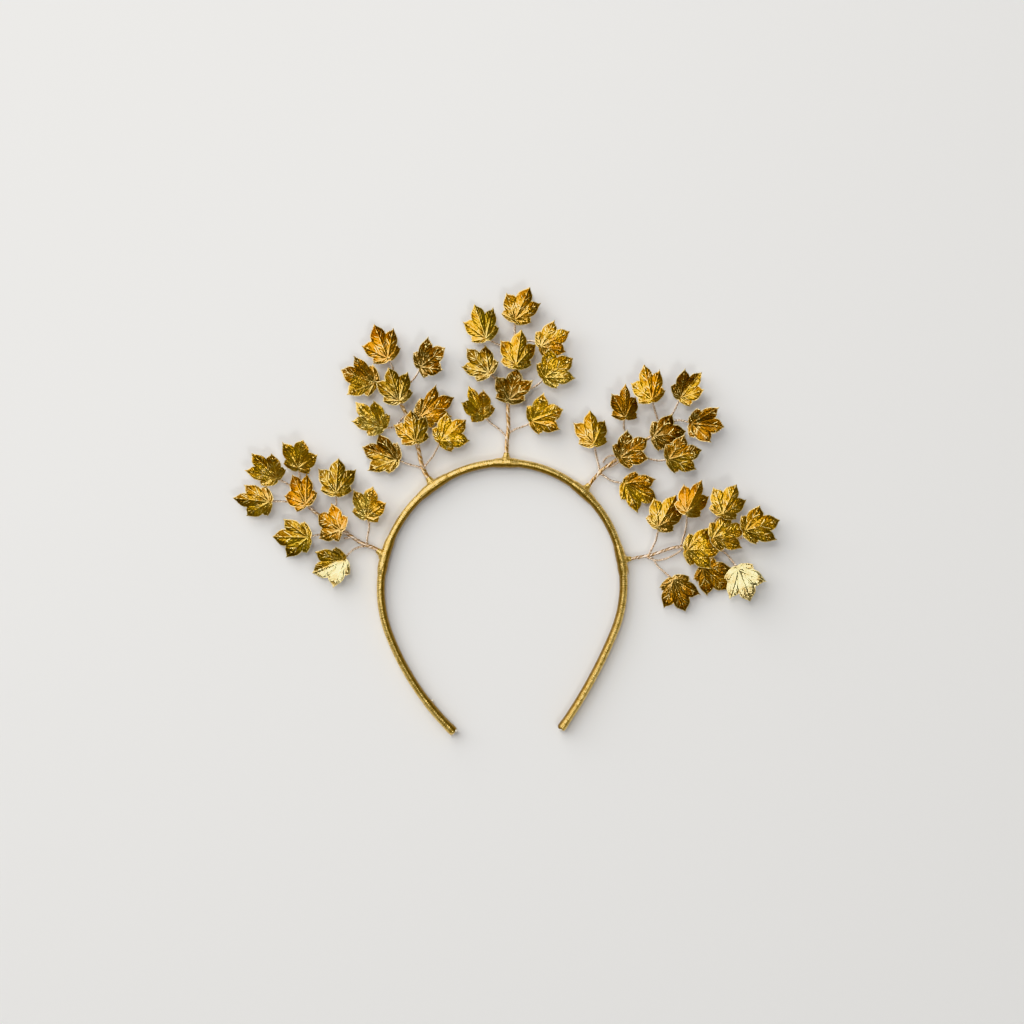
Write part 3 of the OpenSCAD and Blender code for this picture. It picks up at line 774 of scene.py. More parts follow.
@dataclass
class StampedLeaves:
    """The leaves of all the sprays, pressed in one die."""

    die: Die
    finish: bpy.types.Material
    tip_tint: str = "#A48A70"  # what the darkening toward the tips lets through of the colour
    tip_darkening: tuple[float, float] = (0.1, 0.9)  # least and most of it on a lobe
    painted_gleam: str = "#FAE09A"  # painted highlight round the base and on the bosses
    painted_highlight: tuple[float, float] = (0.0, 0.45)  # least and most of it on a leaf
    waves: int = 8  # that handling left in a leaf
    wave_lengths: tuple[float, float] = (14.0, 4.2)  # of the longest and the shortest
    wave_slope: float = 0.045
    bow: float = 1.2  # how far the sheet bows down at the die's full reach
    # The die's grid: turn and reach of each point, its distance from the cut edge, its share of painted shade in a
    # hollow
    # and how far above the plain sheet, the faces, and the UV maps for their corners
    turn: Array = field(init=False)
    reach: Array = field(init=False)
    edge: Array = field(init=False)
    hollow: Array = field(init=False)
    above: Array = field(init=False)
    faces: list[Faces] = field(init=False)
    sheet_uv: Array = field(init=False)
    vein_uv: Array = field(init=False)

    def __post_init__(self) -> None:
        """Lay out the die's grid once: rings of its outline at shares of its reach, and a pole in each middle.

        The face's rings run outward and carry the relief. Those of the underside run back inward, at a depth
        that grows from the sheet's thickness at the edge to the core's inside.
        """
        die = self.die
        turn, reach, lean = die.outline()
        column = np.arange(len(turn))
        tooth = np.where(column % 2, 1, -1) * die.serration
        tooth = tooth + die.jag * ((column % die.jag_columns) / die.jag_columns - 0.5)
        face = np.concatenate((np.linspace(0.03, 0.93, 32), [0.955, 0.98, 1.0]))[:, None]
        face_reach = face * reach + tooth * smoothstep(0.93, 1, face)
        face_edge = (1 - face) * reach * lean
        relief, hollow = die.relief(np.broadcast_to(turn, face_reach.shape), face_reach, face_edge)
        under = np.array([1.0, 0.93, 0.75, 0.5, 0.25])[:, None]
        under_reach = under * reach + tooth * (under == 1)
        under_edge = (1 - under) * reach * lean
        depth = die.sheet + (die.core - die.sheet) * smoothstep(0, 1.5, under_edge)
        depth += die.rim_drop * bell(under_edge, 1.3)
        rows, columns = len(face) + len(under), len(turn)
        self.turn = np.concatenate((np.tile(turn, rows), [0, 0]))
        self.reach = np.concatenate((face_reach.ravel(), under_reach.ravel(), [0, 0]))
        self.edge = np.concatenate((face_edge.ravel(), under_edge.ravel(), [3, 3]))
        self.hollow = np.concatenate((hollow.ravel(), np.zeros(under_reach.size + 2)))
        self.above = np.concatenate((relief.ravel(), -depth.ravel(), [die.vein_rise, -die.core]))
        count = rows * columns
        fans = (fan(count, column, True), fan(count + 1, column + count - columns, False))
        # Rings run outward with the turn anticlockwise, so a face listed ring first would point down
        self.faces = [grid_quads(rows, columns)[:, ::-1], np.concatenate(fans)]
        corner = np.concatenate([block.ravel() for block in self.faces])
        self.sheet_uv = self.reach[corner, None] * compass(self.turn[corner])
        self.vein_uv = np.concatenate([self.measure(block) for block in self.faces])

    def measure(self, block: Faces) -> Array:
        """Give each corner of faces its distance along the vein and across it.

        All corners of a face take the lobe of the face's middle, so that the map is straight inside a face.

        Args:
            block: Faces of one number of corners.

        Returns:
            One row for each corner.
        """
        # A triangle's first corner is the pole, which has no turn of its own
        ray = self.turn[block[:, 1:]] if block.shape[1] == 3 else self.turn[block]
        middle = np.where(np.ptp(ray, axis=1) > 180, 180, ray.mean(axis=1))
        swing = np.radians(self.turn[block] - self.die.vein_turn(middle)[:, None])
        along, across = self.reach[block] * np.cos(swing), self.reach[block] * np.sin(swing)
        return np.stack((along, np.abs(across)), axis=-1).reshape(-1, 2)

    def shape(self, leaf: Leaf) -> tuple[Array, Array]:
        """Swing and stretch the die's points to one leaf's lobes.

        The small lobes turn further where the side lobe beside them is short or stands wide.

        Args:
            leaf: The leaf.

        Returns:
            Distances ahead of the veins' origin and to its left.
        """
        centre, side, _ = self.die.vein_reaches
        small_left, small_right = (
            79 + 5.8 * (side - lobe) + 0.8 * (swing - 36)
            for swing, lobe in ((leaf.left_turn, leaf.left), (leaf.right_turn, leaf.right))
        )
        swung = np.interp(
            self.turn,
            [-180, -78, -36, 0, 36, 78, 180],
            [-180, -small_right, -leaf.right_turn, 0, leaf.left_turn, small_left, 180],
        )
        stretches = [leaf.right / side, leaf.centre / centre, leaf.left / side]
        reach = self.reach * np.interp(self.turn, [-36, 0, 36], stretches)
        return reach * np.cos(np.radians(swung)), reach * np.sin(np.radians(swung))

    def bend(self, leaf: Leaf, ahead: Array, aside: Array, warp: Array) -> Array:
        """Work out the height of the plain sheet under one leaf's relief.

        The sheet rises ahead, rolls to one side, folds along the centre vein, bows down with the square of
        the distance, and waves a little from handling.

        Args:
            leaf: The leaf.
            ahead: Distances ahead of the veins' origin.
            aside: Distances to its left.
            warp: Rows of wave number ahead and aside, phase and height of the waves from handling.

        Returns:
            Heights in millimetres.
        """
        rise, roll, fold = (math.tan(math.radians(slope)) for slope in (leaf.rise, leaf.roll, leaf.fold))
        crease = np.sqrt(np.square(aside) + 0.5) - 0.7
        height = leaf.lift + ahead * rise + aside * roll + crease * fold
        height -= self.bow * (np.square(ahead) + np.square(aside)) / self.die.vein_reaches[0] ** 2
        for wave_ahead, wave_aside, phase, size in warp:
            height += size * np.sin(wave_ahead * ahead + wave_aside * aside + phase)
        return height

    def handling(self, rng: np.random.Generator) -> Array:
        """Draw the waves that handling left in one leaf, each lower the shorter it is.

        Args:
            rng: The leaf's own random generator.

        Returns:
            Rows of wave number ahead and aside, phase and height.
        """
        way = rng.uniform(0, 2 * np.pi, self.waves)
        number = 2 * np.pi / np.linspace(*self.wave_lengths, self.waves)
        height = rng.uniform(0.5, 1.1, self.waves) * self.wave_slope / number
        phase = rng.uniform(0, 2 * np.pi, self.waves)
        return np.column_stack((number * np.cos(way), number * np.sin(way), phase, height))

    def lacquer(self, leaf: Leaf, weight: Array, rng: np.random.Generator) -> Array:
        """Colour one leaf: two tones that are partly painted light, its panels, browner toward the tips, painted
        highlight at base and bosses.

        A panel is the strip between a vein and the next notch. The brown grows along each vein from the lobe's
        middle, by a share of the lobe's own, and leaves the boss in it bright.

        Args:
            leaf: The leaf.
            weight: Share of the left tone at each point.
            rng: The leaf's own random generator.

        Returns:
            A linear colour for each point.
        """
        die = self.die
        along, across, vein_reach = die.along_vein(self.turn, self.reach)
        boss = bell(die.boss_distance(along, across, vein_reach), 0.8 * die.boss_radius)
        # The five lobes from right to left
        lobe = die.lobes(self.turn) * np.sign(self.turn).astype(int) + 2
        panel = rng.uniform(0.8, 1.2, (5, 2))[lobe, (across > 0).astype(int)]
        # Darker toward each lobe's tip, by a share of the lobe's own, but not on the boss
        tip_darkening = rng.uniform(*self.tip_darkening, 5)[lobe] * smoothstep(0.42, 0.74, along / vein_reach) * (1 - boss)
        # Painted highlight round the base and on the bosses of the three long lobes
        base = rng.uniform(*self.painted_highlight) * bell(self.reach, 5.5)
        painted_highlight = np.maximum(base, 0.5 * boss * (lobe > 0) * (lobe < 4))
        right, left, tip_tint, painted_gleam = (
            np.array(linear(colour))
            for colour in (leaf.right_tone_and_light.value, leaf.left_tone_and_light.value, self.tip_tint, self.painted_gleam)
        )
        # The two tones are partly painted light, each half lit or shaded as it faced the lamps
        tone = np.outer(1 - weight, right) + np.outer(weight, left)
        tone *= panel[:, None] * (1 - tip_darkening[:, None] * (1 - tip_tint))
        tone += painted_highlight[:, None] * (painted_gleam - tone)
        tone[:, 3] = 1
        return tone

    def build(self, spray: str, number: int, leaf: Leaf) -> bpy.types.Object:
        """Press one leaf and put it in its place, its sheet moved on in the UV map so that no two dent alike.

        Args:
            spray: Name of the spray.
            number: The leaf's number in it.
            leaf: Its row of sizes.

        Returns:
            The piece.
        """
        rng = np.random.default_rng([len(spray), number, 7])
        warp = self.handling(rng)
        ahead, aside = self.shape(leaf)
        height = self.bend(leaf, ahead, aside, warp) + self.above
        cos, sin = compass(leaf.heading)
        east, north = leaf.x + ahead * cos - aside * sin, leaf.y + ahead * sin + aside * cos
        weight = smoothstep(-1.5, 1.5, aside + 0.8 * np.sin(0.7 * ahead + warp[0, 2]))
        piece = mesh_object(
            f"foil_{spray}_{number}",
            np.column_stack((east, north, height)),
            self.faces,
            self.finish,
            corner_uvs={"sheet": self.sheet_uv + [50 * number, 0], "veins": self.vein_uv},
            values={"edge": self.edge, "hollow": self.hollow},
            colours={"tone": self.lacquer(leaf, weight, rng)},
        )
        return place(piece, "leaf", f"leaf_{spray}_{number}")


@dataclass
class Solid:
    """Closed surfaces gathered to make one piece."""

    surfaces: list[Surface] = field(default_factory=list)

    def add(self, surface: Surface) -> None:
        """Take in one more surface.

        Args:
            surface: A closed surface, whose faces are numbered from its own first point.
        """
        start = sum(len(points) for points, _, _, _ in self.surfaces)
        points, uv, quads, triangles = surface
        self.surfaces.append((points, uv, quads + start, triangles + start))

    def piece(self, name: str, finish: bpy.types.Material) -> bpy.types.Object:
        """Make the piece, with the UV map "ribbon".

        Args:
            name: The piece's name.
            finish: Its material.

        Returns:
            The piece.
        """
        points, uv, *faces = (np.concatenate(arrays) for arrays in zip(*self.surfaces))
        corner = np.concatenate([block.ravel() for block in faces])
        return mesh_object(name, points, faces, finish, corner_uvs={"ribbon": uv[corner]})


def smooth_path(points: Array, step: float) -> Array:
    """Lead a smooth path through points.

    Each stretch is a cubic whose ends have the slopes of the parabolas through three neighbouring points, with
    the distance between the points as its parameter.

    Args:
        points: Points to pass.
        step: Distance between the path's points.

    Returns:
        The path's points.
    """
    gap = np.diff(points, axis=0)
    length = np.linalg.norm(gap, axis=1)
    speed = gap / length[:, None]
    weighted = speed[1:] * length[:-1, None] + speed[:-1] * length[1:, None]
    inner = weighted / (length[1:] + length[:-1])[:, None]
    ends = (2 * speed[0] - inner[0], 2 * speed[-1] - inner[-1]) if len(inner) else (speed[0], speed[-1])
    slope = np.vstack((ends[:1], inner, ends[1:]))
    counts = np.maximum(np.ceil(length / step).astype(int), 2)
    stretch = np.repeat(np.arange(len(gap)), counts)
    t = (np.concatenate([np.arange(n) / n for n in counts]))[:, None]
    run = length[stretch, None]
    path = (
        (2 * t**3 - 3 * t**2 + 1) * points[stretch]
        + (t**3 - 2 * t**2 + t) * run * slope[stretch]
        + (3 * t**2 - 2 * t**3) * points[stretch + 1]
        + (t**3 - t**2) * run * slope[stretch + 1]
    )
    return np.vstack((path, points[-1:]))


def path_frame(path: Array) -> tuple[Array, Array, Array]:
    """Find the directions of a path.

    Args:
        path: The path's points.

    Returns:
        The distance along it, and its sideways and upward directions at each point.
    """
    along = unit(np.gradient(path, axis=0))
    side = unit(np.cross([0.0, 0.0, 1.0], along))
    distance = np.concatenate(([0.0], np.cumsum(np.linalg.norm(np.diff(path, axis=0), axis=1))))
    return distance, side, np.cross(along, side)


def tube(path: Array, radius: Array, sides: int) -> Surface:
    """Carry a circle along a path and close both ends.

    Args:
        path: The path's points.
        radius: The circle's radius at each.
        sides: Points round the circle.

    Returns:
        The closed surface, whose UV map holds the distances along the path and round the circle.
    """
    distance, side, up = path_frame(path)
    angle = 2 * np.pi * np.arange(sides) / sides
    ring = np.cos(angle)[None, :, None] * up[:, None] - np.sin(angle)[None, :, None] * side[:, None]
    uv = np.stack(np.broadcast_arrays(distance[:, None], (angle * radius.mean())[None]), axis=-1)
    return capped(path[:, None] + radius[:, None, None] * ring, uv, path[[0, -1]])


@dataclass(frozen=True)
class Branch:
    """A branch's stem point, its points on the way, and the number of its leaf."""

    start: int
    way: tuple[Point, ...]
    leaf: int


@dataclass(frozen=True)
class Spray:
    """The wires of one spray, as the solids of the part hold them.

    A stem's points have a radius as fourth value. Strands are loose wires beside the stem. A stout stem is wound
    that much thicker, and a gilt one has gold thread wound in.
    """

    stem: tuple[tuple[float, float, float, float], ...]
    branches: tuple[Branch, ...]
    strands: tuple[tuple[Point, ...], ...] = ()
    stout: float = 1.0
    gilt: bool = False


SPRAYS: dict[str, Spray] = {
    "left": Spray(
        (
            (-72, -18.5, 4, 0.9), (-83, -12, 4, 0.85), (-91.5, -6, 4, 0.8), (-97.5, -2.5, 4, 0.75),
            (-103, 2, 4.4, 0.7), (-108, 8.5, 4.2, 0.6), (-107.5, 15.5, 4.2, 0.5),
        ),
        (
            Branch(5, ((-113.5, 13.5, 4.8),), 1), Branch(6, (), 2), Branch(4, ((-114.5, 4.5, 5),), 3),
            Branch(4, (), 4), Branch(2, ((-88.5, 3.5, 5.5),), 5), Branch(1, ((-96.5, -12.5, 4.4),), 6),
            Branch(1, ((-85, -11, 6),), 7), Branch(0, ((-71.5, -6.5, 5.5),), 8), Branch(0, ((-76, -19, 4.2),), 9),
        ),
        (((-80, -14, 4.4), (-84.5, -14.5, 3.6)),),
        stout=1.2,
    ),
    "upper_left": Spray(
        (
            (-43, 21, 4, 0.9), (-45.5, 31, 4.2, 0.85), (-48.5, 42.5, 4.2, 0.8), (-52, 50, 4.4, 0.75),
            (-54.5, 55, 5, 0.7), (-57, 62, 5, 0.6),
        ),
        (
            Branch(5, ((-59, 74, 6),), 1), Branch(5, ((-63, 66, 5),), 2), Branch(5, ((-48.5, 68, 5),), 3),
            Branch(4, (), 4), Branch(3, ((-58.5, 43.5, 5),), 5), Branch(2, (), 6),
            Branch(1, ((-46.5, 34.5, 6),), 7), Branch(0, ((-38, 28.5, 5),), 8), Branch(0, ((-52, 24.5, 5),), 9),
        ),
        stout=1.35,
        gilt=True,
    ),
    "top": Spray(
        (
            (0.5, 37, 4, 0.9), (1, 39.5, 4, 0.9), (1, 54.5, 4, 0.85), (2.5, 63, 4.2, 0.8),
            (5, 73.5, 4.8, 0.7), (4.5, 84.5, 5, 0.6), (4.5, 93, 5.5, 0.5),
        ),
        (
            Branch(6, (), 1), Branch(5, ((-3, 86, 5),), 2), Branch(3, ((-5.5, 68.5, 5.5),), 3), Branch(4, (), 4),
            Branch(5, ((11, 88, 8),), 5), Branch(3, ((9.5, 62.5, 5), (14, 64, 6)), 6), Branch(2, (), 7),
            Branch(0, ((-9.5, 47, 5),), 8), Branch(1, ((12.5, 45.5, 5.5),), 9),
        ),
        stout=1.2,
        gilt=True,
    ),
    "upper_right": Spray(
        (
            (48.5, 19.5, 4, 0.9), (57.5, 26.5, 4.4, 0.85), (67.5, 33, 4.4, 0.8), (74, 37.5, 4.6, 0.75),
            (81.5, 42.5, 4.6, 0.7),
        ),
        (
            Branch(0, ((47, 28.5, 5),), 1), Branch(2, ((61.5, 42.5, 5.5),), 2), Branch(4, ((79, 47, 6),), 3),
            Branch(4, ((87, 51, 6),), 4), Branch(1, (), 5), Branch(3, (), 6), Branch(2, ((74.5, 27, 5),), 7),
            Branch(4, ((87, 46.5, 6),), 8), Branch(0, ((55, 15.5, 4.5),), 9),
        ),
        (
            ((51, 21.5, 4.2), (56, 23.5, 4), (61, 27, 4.4)),
            ((50.5, 25, 4), (53, 28, 4.2), (58.5, 28, 4.6)),
        ),
        stout=1.1,
        gilt=True,
    ),
    "right": Spray(
        ((74.5, -23.5, 4, 0.9), (91, -19, 4.2, 0.85), (96, -19.5, 4.4, 0.8), (107, -15, 5, 0.7)),
        (
            Branch(0, ((76, -20, 4.2),), 1), Branch(1, ((92.5, -13.5, 5),), 2),
            Branch(3, ((108.5, -8, 6), (109, -5, 8.5)), 3), Branch(2, (), 4), Branch(3, ((107, -14.5, 7),), 5),
            Branch(3, ((117, -15, 6), (124, -13.5, 8.5)), 6), Branch(2, ((100, -25.5, 3.6),), 7),
            Branch(3, ((113, -21, 5),), 8), Branch(0, ((80, -30, 4.6),), 9),
        ),
        (((73, -24, 4), (78.5, -26, 4.2), (85, -24.5, 4.4), (92, -20, 4.2)),),
    ),
}


@dataclass(frozen=True)
class Binding:
    """Where extra turns of ribbon hold a spray: the arc of the band, degrees along it, length, and stem's lean."""

    left: bool
    arc: int
    turn: float
    length: float
    lean: float


BINDINGS: dict[str, Binding] = {
    "left": Binding(True, 1, 16, 20, -20),
    "upper_left": Binding(True, 0, 33.5, 18, -2),
    "top": Binding(False, 0, 2.2, 13, -2),
    "upper_right": Binding(False, 0, 43.4, 14, 2),
    "right": Binding(False, 1, 15.2, 16, -1),
}


@dataclass(frozen=True)
class CentreLine:
    """The band's centre line: two chains of arcs that leave the crown to the right and, mirrored, to the left."""

    crown: tuple[float, float] = (-2.4, 24.8)
    crown_heading: float = 2.0
    # Columns: radius, turn
    right_arcs: tuple[tuple[float, float], ...] = ((61, 66), (66, 48.5), (258, 12.5))
    left_arcs: tuple[tuple[float, float], ...] = ((65, 57), (66.5, 52), (139, 24.6))

    def arcs(self, left: bool) -> tuple[tuple[float, float], ...]:
        """Give the chain of one side."""
        return self.left_arcs if left else self.right_arcs

    def length(self, left: bool) -> float:
        """Add up the arcs of one side."""
        return sum(radius * math.radians(turn) for radius, turn in self.arcs(left))

    def place_of(self, binding: Binding) -> float:
        """Find how far from the crown a binding sits.

        Args:
            binding: The binding.

        Returns:
            The distance, negative to the left.
        """
        arcs = self.arcs(binding.left)
        far = sum(radius * math.radians(turn) for radius, turn in arcs[: binding.arc])
        far += arcs[binding.arc][0] * math.radians(binding.turn)
        return -far if binding.left else far

    def points(self, far: Array) -> tuple[Array, Array]:
        """Find places along the line.

        A chain leaves the crown along its own x and bends toward minus y: each arc adds its radius times the
        change of the sine and cosine of the heading. The left chain's x is mirrored, and the whole is turned by
        the crown's heading.

        Args:
            far: Distances from the crown, negative to the left.

        Returns:
            Positions in x and y, and the headings in radians toward growing distance.
        """
        position = np.zeros((len(far), 2))
        heading = np.zeros(len(far))
        for left in (False, True):
            sign = -1.0 if left else 1.0
            start, bend, begun = np.zeros(2), 0.0, 0.0
            for number, (radius, turn) in enumerate(self.arcs(left)):
                run = sign * far - begun
                here = ((far < 0) == left) & ((run >= 0) | (number == 0))
                angle = bend + run[here] / radius
                moved = np.column_stack(
                    (sign * (np.sin(angle) - math.sin(bend)), np.cos(angle) - math.cos(bend))
                )
                position[here] = start * [sign, 1] + radius * moved
                heading[here] = -sign * angle
                after = bend + math.radians(turn)
                start = start + radius * np.array(
                    [math.sin(after) - math.sin(bend), math.cos(after) - math.cos(bend)]
                )
                bend = after
                begun += radius * math.radians(turn)
        tilt = math.radians(self.crown_heading)
        cos, sin = math.cos(tilt), math.sin(tilt)
        return position @ np.array([[cos, sin], [-sin, cos]]) + self.crown, heading + tilt


@dataclass(frozen=True)
class Section:
    """The wound strip's rounded cross-section, a superellipse."""

    breadth: float = 4.3
    height: float = 6.5
    middle: float = 3.95
    power: float = 2.1
    floor: float = 0.02

    def ring(self, share: Array, extra: Array) -> tuple[Array, Array]:
        """Work out points round the section.

        Args:
            share: Shares of a turn round the section, from the side away from the head and up first.
            extra: How far the surface stands outside the plain strip.

        Returns:
            Distances away from the head and heights: half a size times the cosine or sine, to the power 2 over
            the section's own.
        """
        cos, sin = np.cos(2 * np.pi * share), np.sin(2 * np.pi * share)
        away = (self.breadth / 2 + extra) * np.sign(cos) * np.abs(cos) ** (2 / self.power)
        up = (self.height / 2 + extra) * np.sign(sin) * np.abs(sin) ** (2 / self.power)
        return away, np.maximum(self.middle + up, self.floor)


@dataclass(frozen=True)
class Winder:
    """Winds ribbon over the strip: a section carried along the centre line, stepped at each ribbon's edge."""

    line: CentreLine = CentreLine()
    section: Section = Section()
    sides: int = 44

    def surface(
        self, far: Array, extra: Array, advance: float, lap: float, tilt: float, phase: float
    ) -> tuple[Array, Array]:
        """Carry the section along the centre line.

        Each turn of ribbon lies on the edge of the one before it, so the surface stands out by the lap times
        one minus the fractional part of the turns laid, and steps back at the next ribbon's edge. Slow waves in
        both directions keep the turns from being alike.

        Args:
            far: Distances from the crown.
            extra: How far the layer stands out at each.
            advance: Distance between two turns.
            lap: Height of the step at a ribbon's edge.
            tilt: How far round the section a ribbon's edge leans, in turns laid.
            phase: Where the first turn starts.

        Returns:
            Rings of points, one for each distance, and the turns laid and the distance round for each point.
        """
        position, heading = self.line.points(far)
        share = np.arange(self.sides) / self.sides
        turns = far[:, None] / advance + tilt * np.sin(2 * np.pi * share) + phase
        turns = turns + 0.16 * np.sin(1.7 * far[:, None] / advance + 3 * share)
        fraction = turns - np.floor(turns)
        step = lap * (smoothstep(0.0, 0.1, fraction) * (1 - 0.8 * fraction) - 0.3)
        sway = 0.02 * np.sin(0.83 * far[:, None] + 6 * np.sin(2 * np.pi * share)) * np.sin(0.31 * far[:, None])
        away, height = self.section.ring(share, extra[:, None] + step + sway)
        normal = np.column_stack((-np.sin(heading), np.cos(heading)))
        flat = position[:, None, :] + away[..., None] * normal[:, None, :]
        uv = np.broadcast_arrays(turns, share * GIRTH)
        return np.concatenate((flat, height[..., None]), axis=-1), np.stack(uv, axis=-1)

    def stem_axis(self, binding: Binding, far: Array) -> Array:
        """Find points on a stem's axis, which leaves the centre line at a right angle but for its lean.

        Args:
            binding: The stem's binding.
            far: Distances from the band's centre line.

        Returns:
            The points.
        """
        position, heading = self.line.points(np.array([self.line.place_of(binding)]))
        way = heading[0] + math.pi / 2 + math.radians(binding.lean)
        flat = position + np.outer(far, (math.cos(way), math.sin(way)))
        return np.column_stack((flat, np.full(len(far), self.section.middle)))


@dataclass(frozen=True)
class WoundBand:
    """The strip wound in ribbon from end to end, its ends folded over and rounded off."""

    winder: Winder
    finish: bpy.types.Material
    step: float = 0.3
    advance: float = 3.6  # of one turn of ribbon
    lap: float = 0.035  # step at a ribbon's edge
    lean: float = 0.12  # of a ribbon's edge round the section, in turns laid
    left_fold: float = 2.2  # how far a folded end stands beyond the strip's solid
    right_fold: float = 1.7
    fold_length: float = 6.5
    fold_slope: float = 3.5
    fold_extra: float = 0.18
    second_layer: float = 21.0  # where the ribbon's second layer ends, from the left end
    second_extra: float = 0.2
    rounding: float = 1.5
    rounding_rings: int = 8

    def build(self) -> bpy.types.Object:
        """Wind the band, and round its ends off by a quarter of a circle.

        Returns:
            The piece.
        """
        line = self.winder.line
        left, right = -line.length(True) - self.left_fold, line.length(False) + self.right_fold
        close = self.rounding * (1 - np.cos(np.linspace(0, np.pi / 2, self.rounding_rings + 1)))[:-1]
        middle = np.arange(left + self.rounding, right - self.rounding, self.step)
        far = np.concatenate((left + close, middle, right - close[::-1]))
        from_end = np.minimum(far - left, right - far)
        extra = self.second_extra * (1 - smoothstep(self.second_layer, self.second_layer + 2, far - left))
        fold_start = self.fold_length - self.fold_slope
        extra += self.fold_extra * (1 - smoothstep(fold_start, self.fold_length, from_end))
        inside = np.clip(1 - from_end / self.rounding, 0, 1)
        extra -= self.rounding * (1 - np.sqrt(1 - np.square(inside)))
        rings, uv = self.winder.surface(far, extra, self.advance, self.lap, self.lean, 0.0)
        solid = Solid()
        solid.add(capped(rings, uv, rings[[0, -1]].mean(axis=1)))
        return place(solid.piece("ribbon_band", self.finish), "wound_strip", "band")


@dataclass(frozen=True)
class StemBinding:
    """Extra turns of ribbon over the band, drawn up round a stem's foot as a flared collar."""

    winder: Winder
    finish: bpy.types.Material
    step: float = 0.3
    advance: float = 2.9
    lap: float = 0.06
    lean: float = 0.35
    layer: float = 0.5  # thickness of the extra turns
    edge: float = 0.08  # thickness where they start and end
    under: float = -0.35  # depth under the band's surface at which the sleeve is closed
    taper: float = 5.0
    collar_foot: float = 1.2  # distances from the band's centre line
    collar_end: float = 5.4
    collar_step: float = 0.16
    collar_radius: float = 1.15
    collar_advance: float = 1.25
    collar_lap: float = 0.07
    flare: float = 1.7
    flare_length: float = 0.9
    collar_sides: int = 28

    def sleeve(self, binding: Binding, phase: float) -> Surface:
        """Wind the extra turns, thin at both ends, and close them inside the band's own surface.

        Args:
            binding: The binding.
            phase: Where the first turn starts.

        Returns:
            The closed surface.
        """
        middle = self.winder.line.place_of(binding)
        half = binding.length / 2
        reach = np.arange(-half, half + self.step / 2, self.step)
        rise = smoothstep(0, self.taper, half - np.abs(reach))
        extra = self.edge + self.layer * np.sqrt(rise) * (0.9 + 0.1 * np.sin(0.9 * reach + 5 * phase))
        outer = self.winder.surface(middle + reach, extra, self.advance, self.lap, self.lean, phase)
        back = middle + np.array([half, -half])
        inner = self.winder.surface(back, np.full(2, self.under), self.advance, 0.0, 0.0, 0.0)
        rings, uv = (np.concatenate(pair) for pair in zip(outer, inner))
        rows, sides = rings.shape[:2]
        ring = np.arange(sides)
        last = ring + (rows - 1) * sides
        closing = np.column_stack((last, np.roll(last, -1), np.roll(ring, -1), ring))
        quads = np.vstack((grid_quads(rows, sides), closing))
        return rings.reshape(-1, 3), uv.reshape(-1, 2), quads, np.empty((0, 3), int)

    def collar(self, binding: Binding, phase: float, stout: float) -> Surface:
        """Draw the ribbon up the stem's foot.

        The radius is the collar's own plus the flare times the exponential of minus the distance from the band
        over the flare's length, with a step at each turn of ribbon.

        Args:
            binding: The binding.
            phase: Where the first turn starts.
            stout: How much thicker the stem is than a plain one.

        Returns:
            The closed surface.
        """
        far = np.arange(self.collar_foot, self.collar_end, self.collar_step)
        outside = np.clip(far - self.winder.section.breadth / 2, 0, None)
        turns = far / self.collar_advance + phase
        fraction = turns - np.floor(turns)
        radius = self.collar_radius * stout + self.flare * np.exp(-outside / self.flare_length)
        radius += self.collar_lap * (smoothstep(0, 0.2, fraction) * (1 - fraction) - 0.3)
        radius *= np.sqrt(np.clip((self.collar_end + 0.15 - far) / 0.5, 0, 1))
        path = self.winder.stem_axis(binding, far)
        points, uv, quads, ends = tube(path, radius, self.collar_sides)
        return points, uv * [1 / self.collar_advance, 0.25], quads, ends

    def build(self, name: str) -> bpy.types.Object:
        """Wind one binding with its collar.

        Args:
            name: Name of the spray that it holds.

        Returns:
            The piece.
        """
        phase = 0.37 * len(name)
        solid = Solid()
        solid.add(self.sleeve(BINDINGS[name], phase))
        solid.add(self.collar(BINDINGS[name], phase, SPRAYS[name].stout))
        return place(solid.piece(f"ribbon_binding_{name}", self.finish), "ribbon", f"binding_{name}")


@dataclass(frozen=True)
class LooseEdge:
    """The ribbon's cut end, which lifts off the last binding as a thin curl."""

    finish: bpy.types.Material
    way: tuple[Point, ...] = ((62.7, -27.5, 5.4), (63.5, -30.8, 5.3), (63.9, -33.4, 5.0))
    thickness: float = 0.26
    step: float = 0.2
    sides: int = 8

    def build(self) -> bpy.types.Object:
        """Draw the curl along its way, thinner toward the tip by the square root of the share left.

        Returns:
            The piece.
        """
        path = smooth_path(np.array(self.way), self.step)
        left = 1 - np.arange(len(path)) / len(path)
        solid = Solid()
        solid.add(tube(path, self.thickness * np.sqrt(left), self.sides))
        return place(solid.piece("ribbon_loose_end", self.finish), "ribbon")


@dataclass(frozen=True)
class Lay:
    """How strands are wound together."""

    strand: float  # radius of a strand
    pitch: float  # distance for one turn
    closeness: float  # how dark the painted shade between the strands is: a power of the share of the bundle's radius
    tones: tuple[int, ...] = (1, 1)  # for each strand 0 if dull or 1 if bright, and 2 more if gilt


